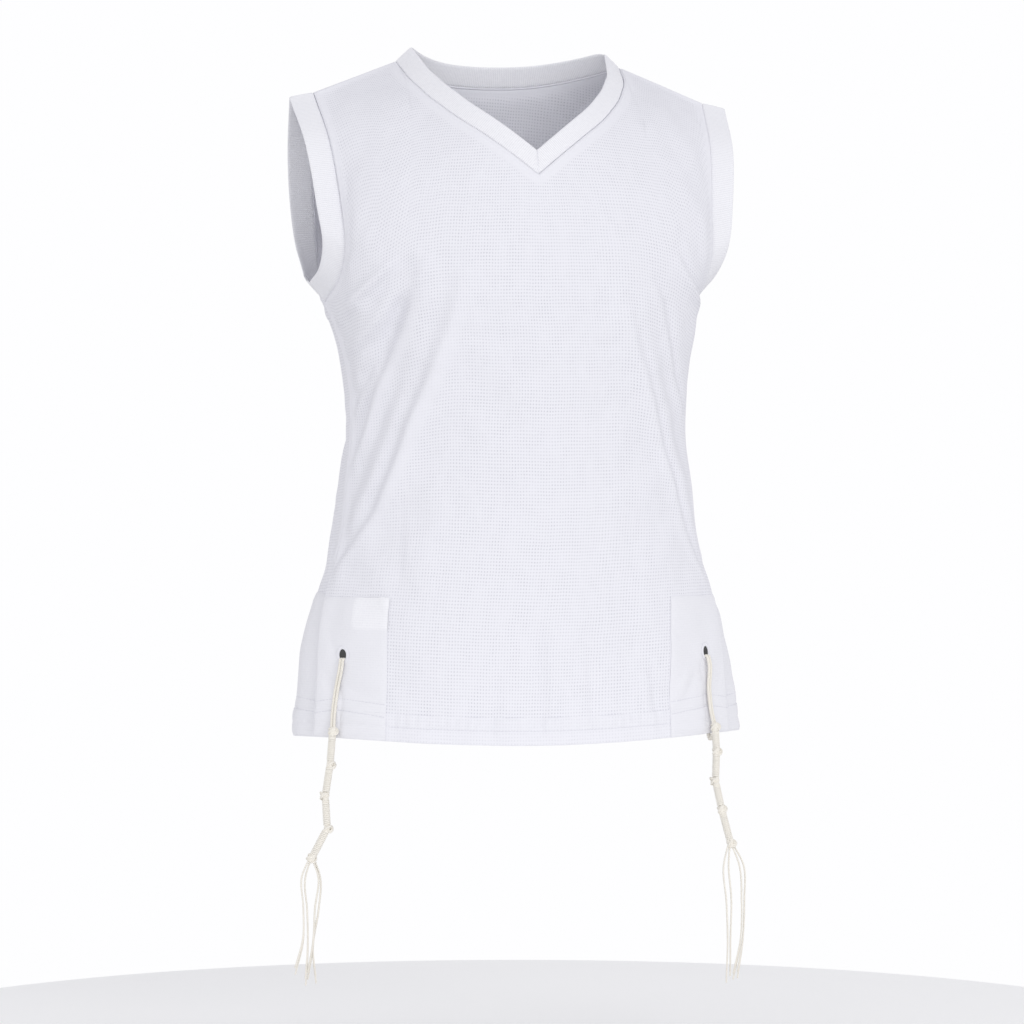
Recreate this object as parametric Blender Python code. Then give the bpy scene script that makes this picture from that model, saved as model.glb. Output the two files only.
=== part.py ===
"""Tzitzit tank top: a sleeveless V-neck undershirt of mesh knit with a tassel at each front corner.

The garment keeps the hollow form it has when worn, with nobody in it. It is sewn from a front
and a back panel, rib bands round the neck and the armholes, and a patch with an embroidered
eyelet at each corner of the hem, where the side seams are left open as slits. The strings of a
tassel pass through the eyelet and round the hem.

Sizes here are millimetres, and new_object turns them to metres. The wearer faces -Y, their left
is +X and up is +Z. The origin is midway between the two points where the shoulder seams meet
the neck band. A drop is a distance below the origin.
"""

import math
from collections import namedtuple

import bmesh
import bpy
import numpy as np

MM = 0.001

# Cloth thicknesses and the gap between pieces
KNIT = 1.2
RIB = 1.7
PATCH = 1.0
HEM_RISE = 0.6
SEAM_GAP = 0.3

# Levels of the body
ARMPIT_DROP = 182.0
SLIT_TOP_DROP = 371.0
PATCH_TOP_DROP = 398.0
HEM_STITCH_DROP = 482.0
HEM_DROP = 502.5
HEM_SAG = 5.5
HEM_TURN = -4.0
TURN_START_DROP = 300.0

# The body's axis stands a little in front of the shoulder line
AXIS_Y = -26.0

# One row for each horizontal ring round the body. middle is how far its centre stands to the
# wearer's left, seam is the angle from the centre front to the side seam, and squareness bends
# the front: under 1 is boxy, over 1 comes to a ridge. The back has one squareness throughout.
Ring = namedtuple("Ring", "drop middle half_width front back seam squareness")
RINGS = (
    Ring(182, -5.5, 140.5, 92.0, 92.0, 90.0, 0.80),
    Ring(210, -3.0, 134.0, 90.0, 86.0, 86.5, 0.84),
    Ring(246, -1.2, 129.5, 87.0, 78.0, 83.5, 0.88),
    Ring(282, -1.5, 129.0, 84.0, 73.0, 82.5, 0.90),
    Ring(318, -0.6, 133.5, 82.0, 71.0, 82.0, 0.94),
    Ring(354, -0.2, 137.5, 81.0, 71.0, 81.0, 1.00),
    Ring(390, -0.6, 148.0, 82.0, 72.0, 78.0, 1.05),
    Ring(426, -0.5, 159.5, 83.0, 73.0, 72.0, 1.10),
    Ring(462, 1.0, 166.0, 83.5, 73.0, 68.5, 1.15),
    Ring(508, 1.6, 171.0, 84.0, 73.0, 66.5, 1.15),
)
BACK_SQUARENESS = 0.9

# Shoulder seam, from the neck band out to the armhole band
NECK_POINT = (87.4, 0.0, 0.0)
SHOULDER_TIP = (151.5, -6.0, -25.5)
NECK_SHARE = 0.5
NECK_SKEW = 6.0
YOKE_LENGTH = 236.6

# How each panel rises from the armpit ring to the shoulder. base is the hidden foot of the neck
# on the centre line, and pitch and pull are the slope and strength with which the cloth arrives.
Yoke = namedtuple("Yoke", "facing base_y base_z start_lean start_pull neck_pitch neck_pull "
                          "shoulder_pitch shoulder_pull")
FRONT_YOKE = Yoke(-1, -80.0, -25.0, 0.0, 200.0, 53.0, 120.0, 24.0, 300.0)
BACK_YOKE = Yoke(1, 42.0, 2.0, 0.15, 200.0, 60.0, 120.0, 24.0, 300.0)

# Seam of the neck band: how far below the shoulder point it lies at each distance from the
# centre line
Neck = namedtuple("Neck", "out drop")
NECK_SEARCH_START = 0.2
NECK_SEARCH_STEPS = 801
FRONT_NECK = (Neck(0, 91.5), Neck(19, 76), Neck(37, 62), Neck(63, 41), Neck(79, 22), Neck(85.5, 9),
              Neck(87.4, 0))
BACK_NECK = (Neck(0, 12.5), Neck(30, 11.5), Neck(55, 8), Neck(72, 4), Neck(82, 1.2), Neck(87.4, 0))

# Seam of the armhole band from the underarm to the shoulder tip, and the angle by which the
# band leans from straight outwards towards the middle of the armhole
Arm = namedtuple("Arm", "out y drop lean")
FRONT_ARM = (
    Arm(140.5, -26.0, 182, 50),
    Arm(139.0, -50.0, 170, 42),
    Arm(139.5, -65.0, 143, 28),
    Arm(142.0, -57.0, 107, 8),
    Arm(146.5, -42.0, 66, 3),
    Arm(151.5, -6.0, 25.5, 12),
)
BACK_ARM = (
    Arm(140.5, -26.0, 182, 50),
    Arm(141.0, 3.0, 173, 42),
    Arm(142.0, 24.0, 150, 28),
    Arm(143.5, 30.0, 115, 12),
    Arm(146.5, 23.0, 72, 4),
    Arm(151.5, -6.0, 25.5, 12),
)
ARM_SHIFT_END = 0.3
ARM_CENTRE = (-13.0, -105.0)
ARM_BAND = 19.0
NECK_BAND_FRONT = 14.5
NECK_BAND_BACK = 16.5
NECK_BAND_LIFT = 0.35

# Folds in the cloth. across is a share of the half panel, from -1 at the right-hand side seam
# to 1 at the left, and height is positive for a ridge and negative for a trough. The folds fade
# out between two shares close to the side seams.
Fold = namedtuple("Fold", "across_a drop_a across_b drop_b width height")
PANEL_REACH = 170.0
FOLD_FADE_START = 0.88
FOLD_FADE_END = 0.985
FOLD_BLUNTNESS = 0.7
FRONT_FOLDS = (
    Fold(-0.27, 158, -1.00, 392, 13, 4.2),
    Fold(-0.40, 158, -1.00, 345, 12, -3.4),
    Fold(-0.58, 150, -1.00, 268, 12, 3.0),
    Fold(0.27, 165, 0.96, 398, 13, 3.6),
    Fold(0.40, 165, 0.97, 345, 12, -2.8),
    Fold(0.60, 140, 0.99, 235, 12, 2.6),
    Fold(-0.42, 300, -0.47, 430, 14, 1.8),
    Fold(0.06, 330, 0.10, 480, 16, 1.8),
    Fold(0.33, 345, 0.40, 495, 15, -1.8),
    Fold(-0.20, 380, -0.16, 510, 17, -1.8),
)
BACK_FOLDS = (
    Fold(-0.22, 150, -0.96, 385, 14, 3.8),
    Fold(-0.38, 155, -0.98, 320, 12, -3.0),
    Fold(0.24, 155, 0.98, 368, 14, 3.4),
    Fold(0.42, 160, 0.98, 300, 12, -2.8),
    Fold(0.60, 130, 0.99, 240, 12, 2.4),
    Fold(-0.05, 250, 0.04, 440, 17, -2.6),
    Fold(0.20, 350, 0.24, 510, 15, 2.2),
    Fold(-0.28, 365, -0.32, 510, 16, 2.2),
)

# Slits: the front corner swings out over the back corner, which tucks in under it
SLIT_OPENING = 24.0
SLIT_OVERLAP_START = 30.0
SLIT_OVERLAP_END = 75.0
SLIT_EDGE_SHARE = 0.16
FRONT_FLARE = 1.6
BACK_TUCK = 3.0
BACK_OVERLAP_ANGLE = 1.6

# Columns and rows of the panels. The patches begin on a column and a row of their own.
PATCH_SHARE = 0.605
PATCH_COLUMNS = 6
FRONT_NECK_COLUMNS = 10
BACK_NECK_COLUMNS = 7
NECK_CROWDING = 0.55
HEM_ROWS = 2
PATCH_ROWS = 6
SLIT_ROWS = 2
BODY_ROWS = 13
YOKE_ROWS = 15

# Eyelets, at a share of the half panel and a drop. The backing ends a little below the middle
# of the hole, and the strings fill the rest.
FRONT_EYELET_SHARE = 0.815
BACK_EYELET_SHARE = 0.74
EYELET_DROP = 443.0
HOLE_HALF_WIDTH = 3.1
HOLE_HALF_HEIGHT = 4.4
HOLE_CUT_REACH = 6.2
EYELET_RIM = 2.4
EYELET_LIFT = 0.4
EYELET_EDGE = 0.4
EYELET_THICKNESS = 1.1
EYELET_SIDES = 14
BACKING_THICKNESS = 0.8
BACKING_CUT = -0.6

# Tassels. The camera sees them from 15 degrees to the wearer's right, and across is measured
# sideways in its view. The first knot hangs at a share of the panel, just below the hem.
STRING = 1.4
PAIR_RADIUS = 1.0
WOUND_RADIUS = 2.9
KNOT_RADIUS = 4.0
KNOT_LENGTH = 3.6
TASSEL_ACROSS = np.array([0.966, -0.259, 0.0])
TASSEL_AHEAD = np.array([-0.259, -0.966, 0.0])
DOWN = np.array([0.0, 0.0, -1.0])
FIRST_KNOT_DROP = 498.0
TASSEL_KNOT_SHARE = {-1: -0.85, 1: 0.835}

# Middles of the knots: how far across and how far below the first one
Knot = namedtuple("Knot", "across below")
RIGHT_KNOTS = (Knot(0, 0), Knot(-2.0, 24.5), Knot(-5.4, 47.2), Knot(-4.0, 70.9),
               Knot(-15.4, 92.9))
LEFT_KNOTS = (Knot(0, 0), Knot(1.0, 18.7), Knot(0.2, 40.4), Knot(4.8, 61.7), Knot(11.6, 87.4))

# Shape of one knot: sections at shares of its length, with shares of its radius. Between two
# knots the end sections take the radius of the winding.
KNOT_SECTIONS = ((-1.0, 0.45), (-0.55, 0.85), (0.0, 1.0), (0.55, 0.85), (1.0, 0.45))
CORD_SIDES = 8

# The two doubled strings that run from the first knot up over the hem, through the eyelet and
# back down behind the panel. Shares are of the way between the hem and the eyelet.
PAIR_APART = 1.2
PAIR_CLEARANCE = 0.5
UPWARD_STOPS = ((0.28, 1.2), (0.62, 0.4))
DOWNWARD_STOPS = (0.25, 0.65)
STRINGS_BELOW_EYE = 1.8
EYE_STOP_DROP = 8.0
BEND_BELOW_EYE = 4.6
BEND_OUT = 2.9
ENTRY_OUT = 2.6
ENTRY_IN = 1.2
EXIT_IN = 4.6
EXIT_BELOW = 1.6
HEM_PASS_DROP = 499.5
UNDER_HEM = 8.0
INTO_KNOT = 1.6
PAIR_STOPS = 24
STRING_SIDES = 4

# Free strings hang in pairs. Each row is one pair: how far across it lies at the shares below
# of its fall, how far its longer and shorter string fall on average, and how far ahead it is.
Pair = namedtuple("Pair", "near middle low end fall depth")
PAIR_SHARES = (0.16, 0.42, 0.72, 1.0)
RIGHT_PAIRS = (
    Pair(-7.0, -6.0, -6.2, -12.0, 82.5, 2.4),
    Pair(-4.6, -3.2, -2.8, -4.4, 90.5, 0.6),
    Pair(4.8, 2.4, 1.0, -3.0, 86.5, -1.2),
    Pair(6.2, 5.0, 0.8, 3.0, 89.5, -3.0),
)
LEFT_PAIRS = (
    Pair(-5.4, -3.4, -2.4, -3.4, 101.5, 2.4),
    Pair(-1.6, 0.4, -0.2, -0.4, 96.5, 0.6),
    Pair(6.4, 8.2, 7.4, 1.8, 99.5, -1.2),
    Pair(9.6, 10.4, 9.2, 5.2, 98.5, -3.0),
)
STRING_APART = 0.95
STRING_SPREAD = 0.6
FALL_DIFFERENCE = 2.5
ROOT_STEP = 1.3
ROOT_DEPTH = 0.45
ROOT_BELOW = 0.6
STRING_STOPS = 8

# Colours, linear, with roughness
Finish = namedtuple("Finish", "red green blue roughness")
MESH_KNIT = Finish(0.86, 0.86, 0.90, 0.85)
RIB_KNIT = Finish(0.87, 0.87, 0.90, 0.80)
PLAIN_KNIT = Finish(0.88, 0.88, 0.91, 0.80)
EYELET_THREAD = Finish(0.90, 0.90, 0.92, 0.60)
BLACK_BACKING = Finish(0.02, 0.02, 0.02, 0.90)
CREAM_STRING = Finish(0.80, 0.75, 0.66, 0.85)


def clear_scene():
    """Take every object out of the open file."""
    for obj in list(bpy.data.objects):
        bpy.data.objects.remove(obj, do_unlink=True)


def new_collection(name):
    collection = bpy.data.collections.new(name)
    bpy.context.scene.collection.children.link(collection)
    return collection


def new_material(name, finish):
    """A plain Principled material."""
    material = bpy.data.materials.new(name)
    material.use_nodes = True
    shader = material.node_tree.nodes["Principled BSDF"]
    shader.inputs["Base Color"].default_value = (finish.red, finish.green, finish.blue, 1.0)
    shader.inputs["Roughness"].default_value = finish.roughness
    shader.inputs["Metallic"].default_value = 0.0
    return material


def new_object(name, points, faces, collection, finish):
    """An object from points in millimetres, with its faces turned outwards."""
    mesh = bpy.data.meshes.new(name)
    mesh.from_pydata([tuple(point) for point in np.asarray(points) * MM], [], faces)
    shape = bmesh.new()
    shape.from_mesh(mesh)
    bmesh.ops.triangulate(shape, faces=shape.faces)
    bmesh.ops.recalc_face_normals(shape, faces=shape.faces)
    shape.to_mesh(mesh)
    shape.free()
    mesh.shade_smooth()
    mesh.materials.append(new_material(name, finish))
    obj = bpy.data.objects.new(name, mesh)
    collection.objects.link(obj)
    return obj


def smooth(keys, values, at):
    """Value of a smooth curve through a table's rows."""
    keys = np.asarray(keys, float)
    values = np.asarray(values, float)
    slopes = np.gradient(values, keys)
    at = np.clip(at, keys[0], keys[-1])
    low = np.clip(np.searchsorted(keys, at, side="right") - 1, 0, len(keys) - 2)
    step = keys[low + 1] - keys[low]
    share = (at - keys[low]) / step
    left, right = (1 - share) ** 2, share ** 2
    start = (1 + 2 * share) * left * values[low] + share * left * step * slopes[low]
    finish = (3 - 2 * share) * right * values[low + 1] - (1 - share) * right * step * slopes[low + 1]
    return start + finish


def column(table, name):
    return [getattr(row, name) for row in table]


def ramp(value, start, end):
    """0 before start, 1 after end and a smooth rise between."""
    share = np.clip((value - start) / (end - start), 0.0, 1.0)
    return share * share * (3 - 2 * share)


def ring_value(name, drop):
    return smooth(column(RINGS, "drop"), column(RINGS, name), drop)


def body_point(facing, across, drop):
    """Middle of the cloth below the armpit. facing is -1 for the front and 1 for the back."""
    seam = np.radians(ring_value("seam", drop))
    overlap = ramp(drop, SLIT_TOP_DROP + SLIT_OVERLAP_START, SLIT_TOP_DROP + SLIT_OVERLAP_END)
    if facing < 0:
        angle = across * seam
    else:
        seam = seam - overlap * math.radians(BACK_OVERLAP_ANGLE)
        angle = np.sign(across + 1e-9) * (math.pi - np.abs(across) * (math.pi - seam))
    angle = angle + math.radians(HEM_TURN) * ramp(drop, TURN_START_DROP, HEM_DROP)
    ahead = np.cos(angle)
    in_front = ahead > 0
    depth = np.where(in_front, -ring_value("front", drop), ring_value("back", drop))
    power = np.where(in_front, ring_value("squareness", drop), BACK_SQUARENESS)
    x = ring_value("middle", drop) + ring_value("half_width", drop) * np.sin(angle)
    y = AXIS_Y + depth * np.abs(ahead) ** power
    sag = HEM_SAG * ramp(drop, PATCH_TOP_DROP, HEM_DROP) * np.cos(across * math.pi / 2) ** 2
    return np.stack([x, y, -(drop + sag)], axis=-1)


def arm_seam(table, hand, rise):
    """Point of the armhole seam and the band's lean there. rise runs from underarm to tip."""
    points = np.array([(row.out, row.y, -row.drop) for row in table], float)
    steps = np.linalg.norm(np.diff(points, axis=0), axis=1)
    keys = np.concatenate([[0.0], np.cumsum(steps)]) / steps.sum()
    place = np.stack([smooth(keys, points[:, axis], rise) for axis in range(3)], axis=-1)
    place[..., 0] *= hand
    place[..., 0] += ring_value("middle", ARMPIT_DROP) * (1 - ramp(rise, 0.0, ARM_SHIFT_END))
    return place, smooth(keys, column(table, "lean"), rise)


def yoke_point(yoke, across, rise):
    """Middle of the cloth above the armpit, as a curve that rises over the shoulder."""
    share = np.clip(np.abs(across) / NECK_SHARE, 0.0, 1.0)
    beyond = np.clip((np.abs(across) - NECK_SHARE) / (1 - NECK_SHARE), 0.0, 1.0)
    side = np.sign(across)
    foot = 1 - share ** 2
    neck = np.array(NECK_POINT)
    tip = np.array(SHOULDER_TIP)
    top_x = side * (neck[0] * share + (tip[0] - neck[0]) * beyond) - NECK_SKEW * foot
    top_y = yoke.base_y * foot + tip[1] * beyond
    top_z = yoke.base_z * foot + tip[2] * beyond
    top = np.stack([top_x, top_y, top_z], axis=-1)
    low = body_point(yoke.facing, across, np.full_like(across, ARMPIT_DROP))
    pitch = np.radians(yoke.neck_pitch + (yoke.shoulder_pitch - yoke.neck_pitch) * share ** 2)
    pull = yoke.neck_pull + (yoke.shoulder_pull - yoke.neck_pull) * share ** 2
    leave = np.array([0.0, yoke.start_lean, 1.0]) * yoke.start_pull
    arrive = np.stack([0 * pitch, -yoke.facing * np.cos(pitch) * pull, np.sin(pitch) * pull], axis=-1)
    t = rise[..., None]
    place = ((1 + 2 * t) * (1 - t) ** 2 * low + t * (1 - t) ** 2 * leave
             + t ** 2 * (3 - 2 * t) * top - t ** 2 * (1 - t) * arrive)
    return place


def yoke_surface(yoke, across, rise):
    """yoke_point, pulled at its sides onto the armhole seam."""
    place = yoke_point(yoke, across, rise)
    table = FRONT_ARM if yoke.facing < 0 else BACK_ARM
    for hand in (-1, 1):
        wanted, _ = arm_seam(table, hand, rise)
        found = yoke_point(yoke, np.full_like(across, hand), rise)
        weight = np.clip(across * hand, 0.0, 1.0) ** 3
        place = place + weight[..., None] * (wanted - found)
    return place


def neck_rise(yoke, across):
    """How far up its column each part of the panel is cut: 1 at the shoulder, less at the neck."""
    table = FRONT_NECK if yoke.facing < 0 else BACK_NECK
    tries = np.linspace(NECK_SEARCH_START, 1.0, NECK_SEARCH_STEPS)
    rises = np.ones_like(across)
    for index, share in enumerate(across):
        if abs(share) >= NECK_SHARE - 1e-6:
            continue
        place = yoke_surface(yoke, np.full_like(tries, share), tries)
        skew = NECK_SKEW * (1 - (share / NECK_SHARE) ** 2)
        wanted = smooth(column(table, "out"), column(table, "drop"), np.abs(place[:, 0] + skew))
        above = np.nonzero(-place[:, 2] <= wanted)[0]
        rises[index] = tries[above[0]] if len(above) else 1.0
    return rises


def grid_normals(grid):
    """Outward normals of a grid whose columns run to +X seen from outside the front."""
    along = np.gradient(grid, axis=1)
    up = np.gradient(grid, axis=0)
    normals = np.cross(along, up)
    normals /= np.linalg.norm(normals, axis=-1, keepdims=True)
    return normals


def fold_height(folds, across, drop):
    """Height of all folds together, at each place of a panel."""
    x = across * PANEL_REACH
    total = np.zeros_like(x)
    for fold in folds:
        start = np.array([fold.across_a * PANEL_REACH, fold.drop_a])
        run = np.array([fold.across_b * PANEL_REACH, fold.drop_b]) - start
        length = np.linalg.norm(run)
        ahead = ((x - start[0]) * run[0] + (drop - start[1]) * run[1]) / length
        aside = ((x - start[0]) * run[1] - (drop - start[1]) * run[0]) / length
        swell = np.sin(math.pi * np.clip(ahead / length, 0.0, 1.0)) ** FOLD_BLUNTNESS
        total += fold.height * np.exp(-(aside / fold.width) ** 2) * swell
    return total


def panel_columns(neck_columns):
    """Shares of the half panel at which the columns stand."""
    edge = 1 - SEAM_GAP / 2 / PANEL_REACH
    outer = np.linspace(edge, PATCH_SHARE, PATCH_COLUMNS + 1)
    between = [(PATCH_SHARE + NECK_SHARE) / 2]
    even = np.linspace(1, 0, neck_columns + 1)
    crowded = np.sin(math.pi / 2 * even)
    inner = NECK_SHARE * (even + NECK_CROWDING * (crowded - even))
    half = np.concatenate([outer, between, inner])
    return np.concatenate([-half, half[-2::-1]])


def body_rows():
    """Drops of the rows from the hem up to the armpit."""
    return np.concatenate([
        np.linspace(HEM_DROP, HEM_STITCH_DROP, HEM_ROWS, endpoint=False),
        np.linspace(HEM_STITCH_DROP, PATCH_TOP_DROP, PATCH_ROWS, endpoint=False),
        np.linspace(PATCH_TOP_DROP, SLIT_TOP_DROP, SLIT_ROWS, endpoint=False),
        np.linspace(SLIT_TOP_DROP, ARMPIT_DROP, BODY_ROWS, endpoint=False),
    ])


class Panel:
    """One panel's grid: the middle of its cloth, its normals and how thick its outer side is."""

    def __init__(self, yoke, folds, neck_columns):
        self.yoke = yoke
        self.folds = folds
        self.columns = panel_columns(neck_columns)
        drops = body_rows()
        across, drop = np.meshgrid(self.columns, drops)
        body = body_point(yoke.facing, across, drop)
        tops = neck_rise(yoke, self.columns)
        edge = SEAM_GAP / 2 / YOKE_LENGTH
        tops = np.where(tops > 1 - edge, 1 - edge, tops)
        rises = np.linspace(0, 1, YOKE_ROWS + 1)[:, None] * tops[None, :]
        yoke_across = np.broadcast_to(self.columns, rises.shape)
        self.grid = np.concatenate([body, yoke_surface(yoke, yoke_across, rises)])
        self.across = np.concatenate([across, yoke_across])
        self.first_yoke_row = len(drops)
        self.turn = -yoke.facing
        normals = self.find_normals()
        raised = fold_height(folds, self.across, -self.grid[..., 2])
        raised *= 1 - ramp(np.abs(self.across), FOLD_FADE_START, FOLD_FADE_END)
        raised += self.slit_lift()
        self.grid = self.grid + normals * raised[..., None]
        self.normals = self.find_normals()
        self.outer = np.full(raised.shape, KNIT / 2)
        self.outer[:HEM_ROWS] += HEM_RISE

    def slit_lift(self):
        """Front corners swing out and back corners tuck in beside the slits."""
        reach = FRONT_FLARE if self.yoke.facing < 0 else -BACK_TUCK
        down = ramp(-self.grid[..., 2], SLIT_TOP_DROP, SLIT_TOP_DROP + SLIT_OPENING)
        return reach * down * ramp(np.abs(self.across), 1 - SLIT_EDGE_SHARE, 1.0)

    def find_normals(self):
        normals = grid_normals(self.grid) * self.turn
        shoulder = np.abs(self.columns) >= NECK_SHARE - 1e-6
        normals[-1, shoulder, 1] = 0.0
        return normals / np.linalg.norm(normals, axis=-1, keepdims=True)

    def sheet(self, lift):
        """The panel's points moved out from the middle of its cloth."""
        return self.grid + self.normals * np.asarray(lift)[..., None]

    def solid(self, name, collection):
        inside = self.sheet(np.full(self.outer.shape, -KNIT / 2))
        return wall(name, self.sheet(self.outer), inside, collection, MESH_KNIT)

    def patch(self, name, hand, collection):
        """A corner patch, made from the panel's own points."""
        picked = np.nonzero(self.columns * hand >= PATCH_SHARE - 1e-6)[0]
        rows = slice(0, HEM_ROWS + PATCH_ROWS + 1)
        part = (rows, slice(picked[0], picked[-1] + 1))
        under = self.sheet(self.outer + SEAM_GAP)[part]
        over = self.sheet(self.outer + SEAM_GAP + PATCH)[part]
        return wall(name, over, under, collection, PLAIN_KNIT)

    def place(self, share, drop):
        """Point on the panel's grid at a share and drop, with its normal."""
        rows = -self.grid[:self.first_yoke_row, :, 2]
        normal = np.array([self.across_value(self.normals, rows, share, drop, k) for k in range(3)])
        point = np.array([self.across_value(self.grid, rows, share, drop, k) for k in range(3)])
        return point, normal / np.linalg.norm(normal)

    def across_value(self, values, rows, share, drop, axis):
        """Value of one axis of a grid, read between its rows and columns."""
        down = [np.interp(-drop, -rows[:, k], values[:self.first_yoke_row, k, axis])
                for k in range(len(self.columns))]
        return np.interp(share, self.columns, down)


def wall(name, over, under, collection, finish):
    """A closed wall between an outer and an inner grid of the same size."""
    rows, columns = over.shape[:2]
    points = np.concatenate([over.reshape(-1, 3), under.reshape(-1, 3)])
    behind = rows * columns

    def at(row, col, layer):
        return row * columns + col + layer * behind

    faces = []
    for row in range(rows - 1):
        for col in range(columns - 1):
            quad = [at(row, col, 0), at(row, col + 1, 0), at(row + 1, col + 1, 0), at(row + 1, col, 0)]
            faces.append(quad)
            faces.append([index + behind for index in reversed(quad)])
    rim = [(0, col) for col in range(columns - 1)]
    rim += [(row, columns - 1) for row in range(rows - 1)]
    rim += [(rows - 1, col) for col in range(columns - 1, 0, -1)]
    rim += [(row, 0) for row in range(rows - 1, 0, -1)]
    for (row_a, col_a), (row_b, col_b) in zip(rim, rim[1:] + rim[:1]):
        faces.append([at(row_b, col_b, 0), at(row_a, col_a, 0), at(row_a, col_a, 1), at(row_b, col_b, 1)])
    return new_object(name, points, faces, collection, finish)


def ring_loft(name, sections, collection, finish):
    """A closed ring through sections that all have the same number of points."""
    sections = np.asarray(sections)
    count, sides = sections.shape[:2]
    faces = []
    for ring in range(count):
        after = (ring + 1) % count
        for side in range(sides):
            beside = (side + 1) % sides
            faces.append([ring * sides + side, ring * sides + beside,
                          after * sides + beside, after * sides + side])
    return new_object(name, sections.reshape(-1, 3), faces, collection, finish)


def unit(vectors):
    return vectors / np.linalg.norm(vectors, axis=-1, keepdims=True)


def band(name, seam, panel_normals, leads, widths, collection):
    """A rib band from the seam loop. leads point from the seam to the band's free edge."""
    tangents = unit(np.roll(seam, -1, axis=0) - np.roll(seam, 1, axis=0))
    own = unit(np.cross(leads, tangents))
    own *= np.sign(np.sum(own * panel_normals, axis=1))[:, None]
    half = RIB / 2
    sections = []
    for point, base_out, out, lead, width in zip(seam, panel_normals, own, leads, widths):
        foot = point + lead * SEAM_GAP
        middle = point + lead * width * 0.5
        rim = point + lead * (width - half)
        sections.append([foot + base_out * half, middle + out * half, rim + out * half,
                         point + lead * width, rim - out * half, middle - out * half,
                         foot - base_out * half])
    return ring_loft(name, sections, collection, RIB_KNIT)


def armhole_band(name, hand, front, back, collection):
    """The rib round one armhole, up the front seam and down the back one."""
    rises = np.linspace(0, 1, YOKE_ROWS + 1)
    front_seam, front_lean = arm_seam(FRONT_ARM, hand, rises)
    back_seam, back_lean = arm_seam(BACK_ARM, hand, rises)
    edge = 0 if hand < 0 else -1
    front_out = front.normals[front.first_yoke_row:, edge]
    back_out = back.normals[back.first_yoke_row:, edge]
    ends = unit(front_out[[0, -1]] + back_out[[0, -1]])
    out = np.concatenate([ends[:1], front_out[1:-1], ends[1:], back_out[-2:0:-1]])
    seam = np.concatenate([front_seam, back_seam[-2:0:-1]])
    lean = np.radians(np.concatenate([front_lean, back_lean[-2:0:-1]]))
    inward = np.zeros_like(seam)
    inward[:, 1:] = unit(np.array(ARM_CENTRE) - seam[:, 1:])
    sideways = np.array([hand, 0.0, 0.0])
    leads = sideways * np.cos(lean)[:, None] + inward * np.sin(lean)[:, None]
    return band(name, seam, out, leads, np.full(len(seam), ARM_BAND), collection)


def neck_band(name, front, back, collection):
    """The rib round the neck, mitred at the V."""
    front_pick = np.nonzero(np.abs(front.columns) <= NECK_SHARE + 1e-6)[0]
    back_pick = np.nonzero(np.abs(back.columns) <= NECK_SHARE + 1e-6)[0][::-1]
    front_seam, back_seam = front.grid[-1, front_pick], back.grid[-1, back_pick]
    front_out, back_out = front.normals[-1, front_pick], back.normals[-1, back_pick]
    seam = np.concatenate([front_seam, back_seam[1:-1]])
    out = np.concatenate([front_out, back_out[1:-1]])
    seam[0] = (front_seam[0] + back_seam[-1]) / 2
    seam[len(front_seam) - 1] = (front_seam[-1] + back_seam[0]) / 2
    tangents = unit(np.roll(seam, -1, axis=0) - np.roll(seam, 1, axis=0))
    leads = unit(np.cross(out, tangents))
    leads *= np.sign(leads @ np.array([0.0, 0.0, 1.0]))[:, None]
    lift = NECK_BAND_LIFT * np.abs(seam[:, 0] / NECK_POINT[0]) ** 2
    lift[len(front_seam):] = NECK_BAND_LIFT
    leads = unit(leads + lift[:, None] * np.array([0.0, 0.0, 1.0]))
    widths = np.full(len(seam), NECK_BAND_BACK)
    inner = np.abs(seam[:len(front_seam), 0] / NECK_POINT[0])
    widths[:len(front_seam)] = NECK_BAND_FRONT + (NECK_BAND_BACK - NECK_BAND_FRONT) * inner ** 2
    point = len(front_seam) // 2
    limb = unit(seam[point + 1] - seam[point])
    widths[point] = NECK_BAND_FRONT / math.sqrt(1 - (limb @ leads[point]) ** 2)
    return band(name, seam, out, leads, widths, collection)


def eyelet_frame(panel, hand):
    """Where an eyelet sits: its middle on the patch, and its sideways, upward and outward ways."""
    share = FRONT_EYELET_SHARE if panel.yoke.facing < 0 else BACK_EYELET_SHARE
    point, out = panel.place(share * hand, EYELET_DROP)
    point = point + out * (KNIT / 2 + SEAM_GAP + PATCH)
    sideways = unit(np.cross(np.array([0.0, 0.0, 1.0]), out))
    upward = np.cross(out, sideways)
    return point, sideways, upward, out


def oval(frame, half_width, half_height, lift, sides):
    """Points of an oval round an eyelet's middle."""
    point, sideways, upward, out = frame
    angles = np.arange(sides) * 2 * math.pi / sides
    return (point + out * lift + np.outer(np.cos(angles) * half_width, sideways)
            + np.outer(np.sin(angles) * half_height, upward))


def eyelet_ring(name, frame, collection):
    """The embroidered rim that lies on the patch round the hole."""
    edge, crest = EYELET_LIFT + EYELET_EDGE, EYELET_LIFT + EYELET_THICKNESS
    profile = ((0.0, EYELET_LIFT), (EYELET_RIM, EYELET_LIFT), (EYELET_RIM, edge),
               (EYELET_RIM / 2, crest), (0.0, edge))
    loops = [oval(frame, HOLE_HALF_WIDTH + wide, HOLE_HALF_HEIGHT + wide, lift, EYELET_SIDES)
             for wide, lift in profile]
    return ring_loft(name, np.stack(loops, axis=1), collection, EYELET_THREAD)


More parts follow.
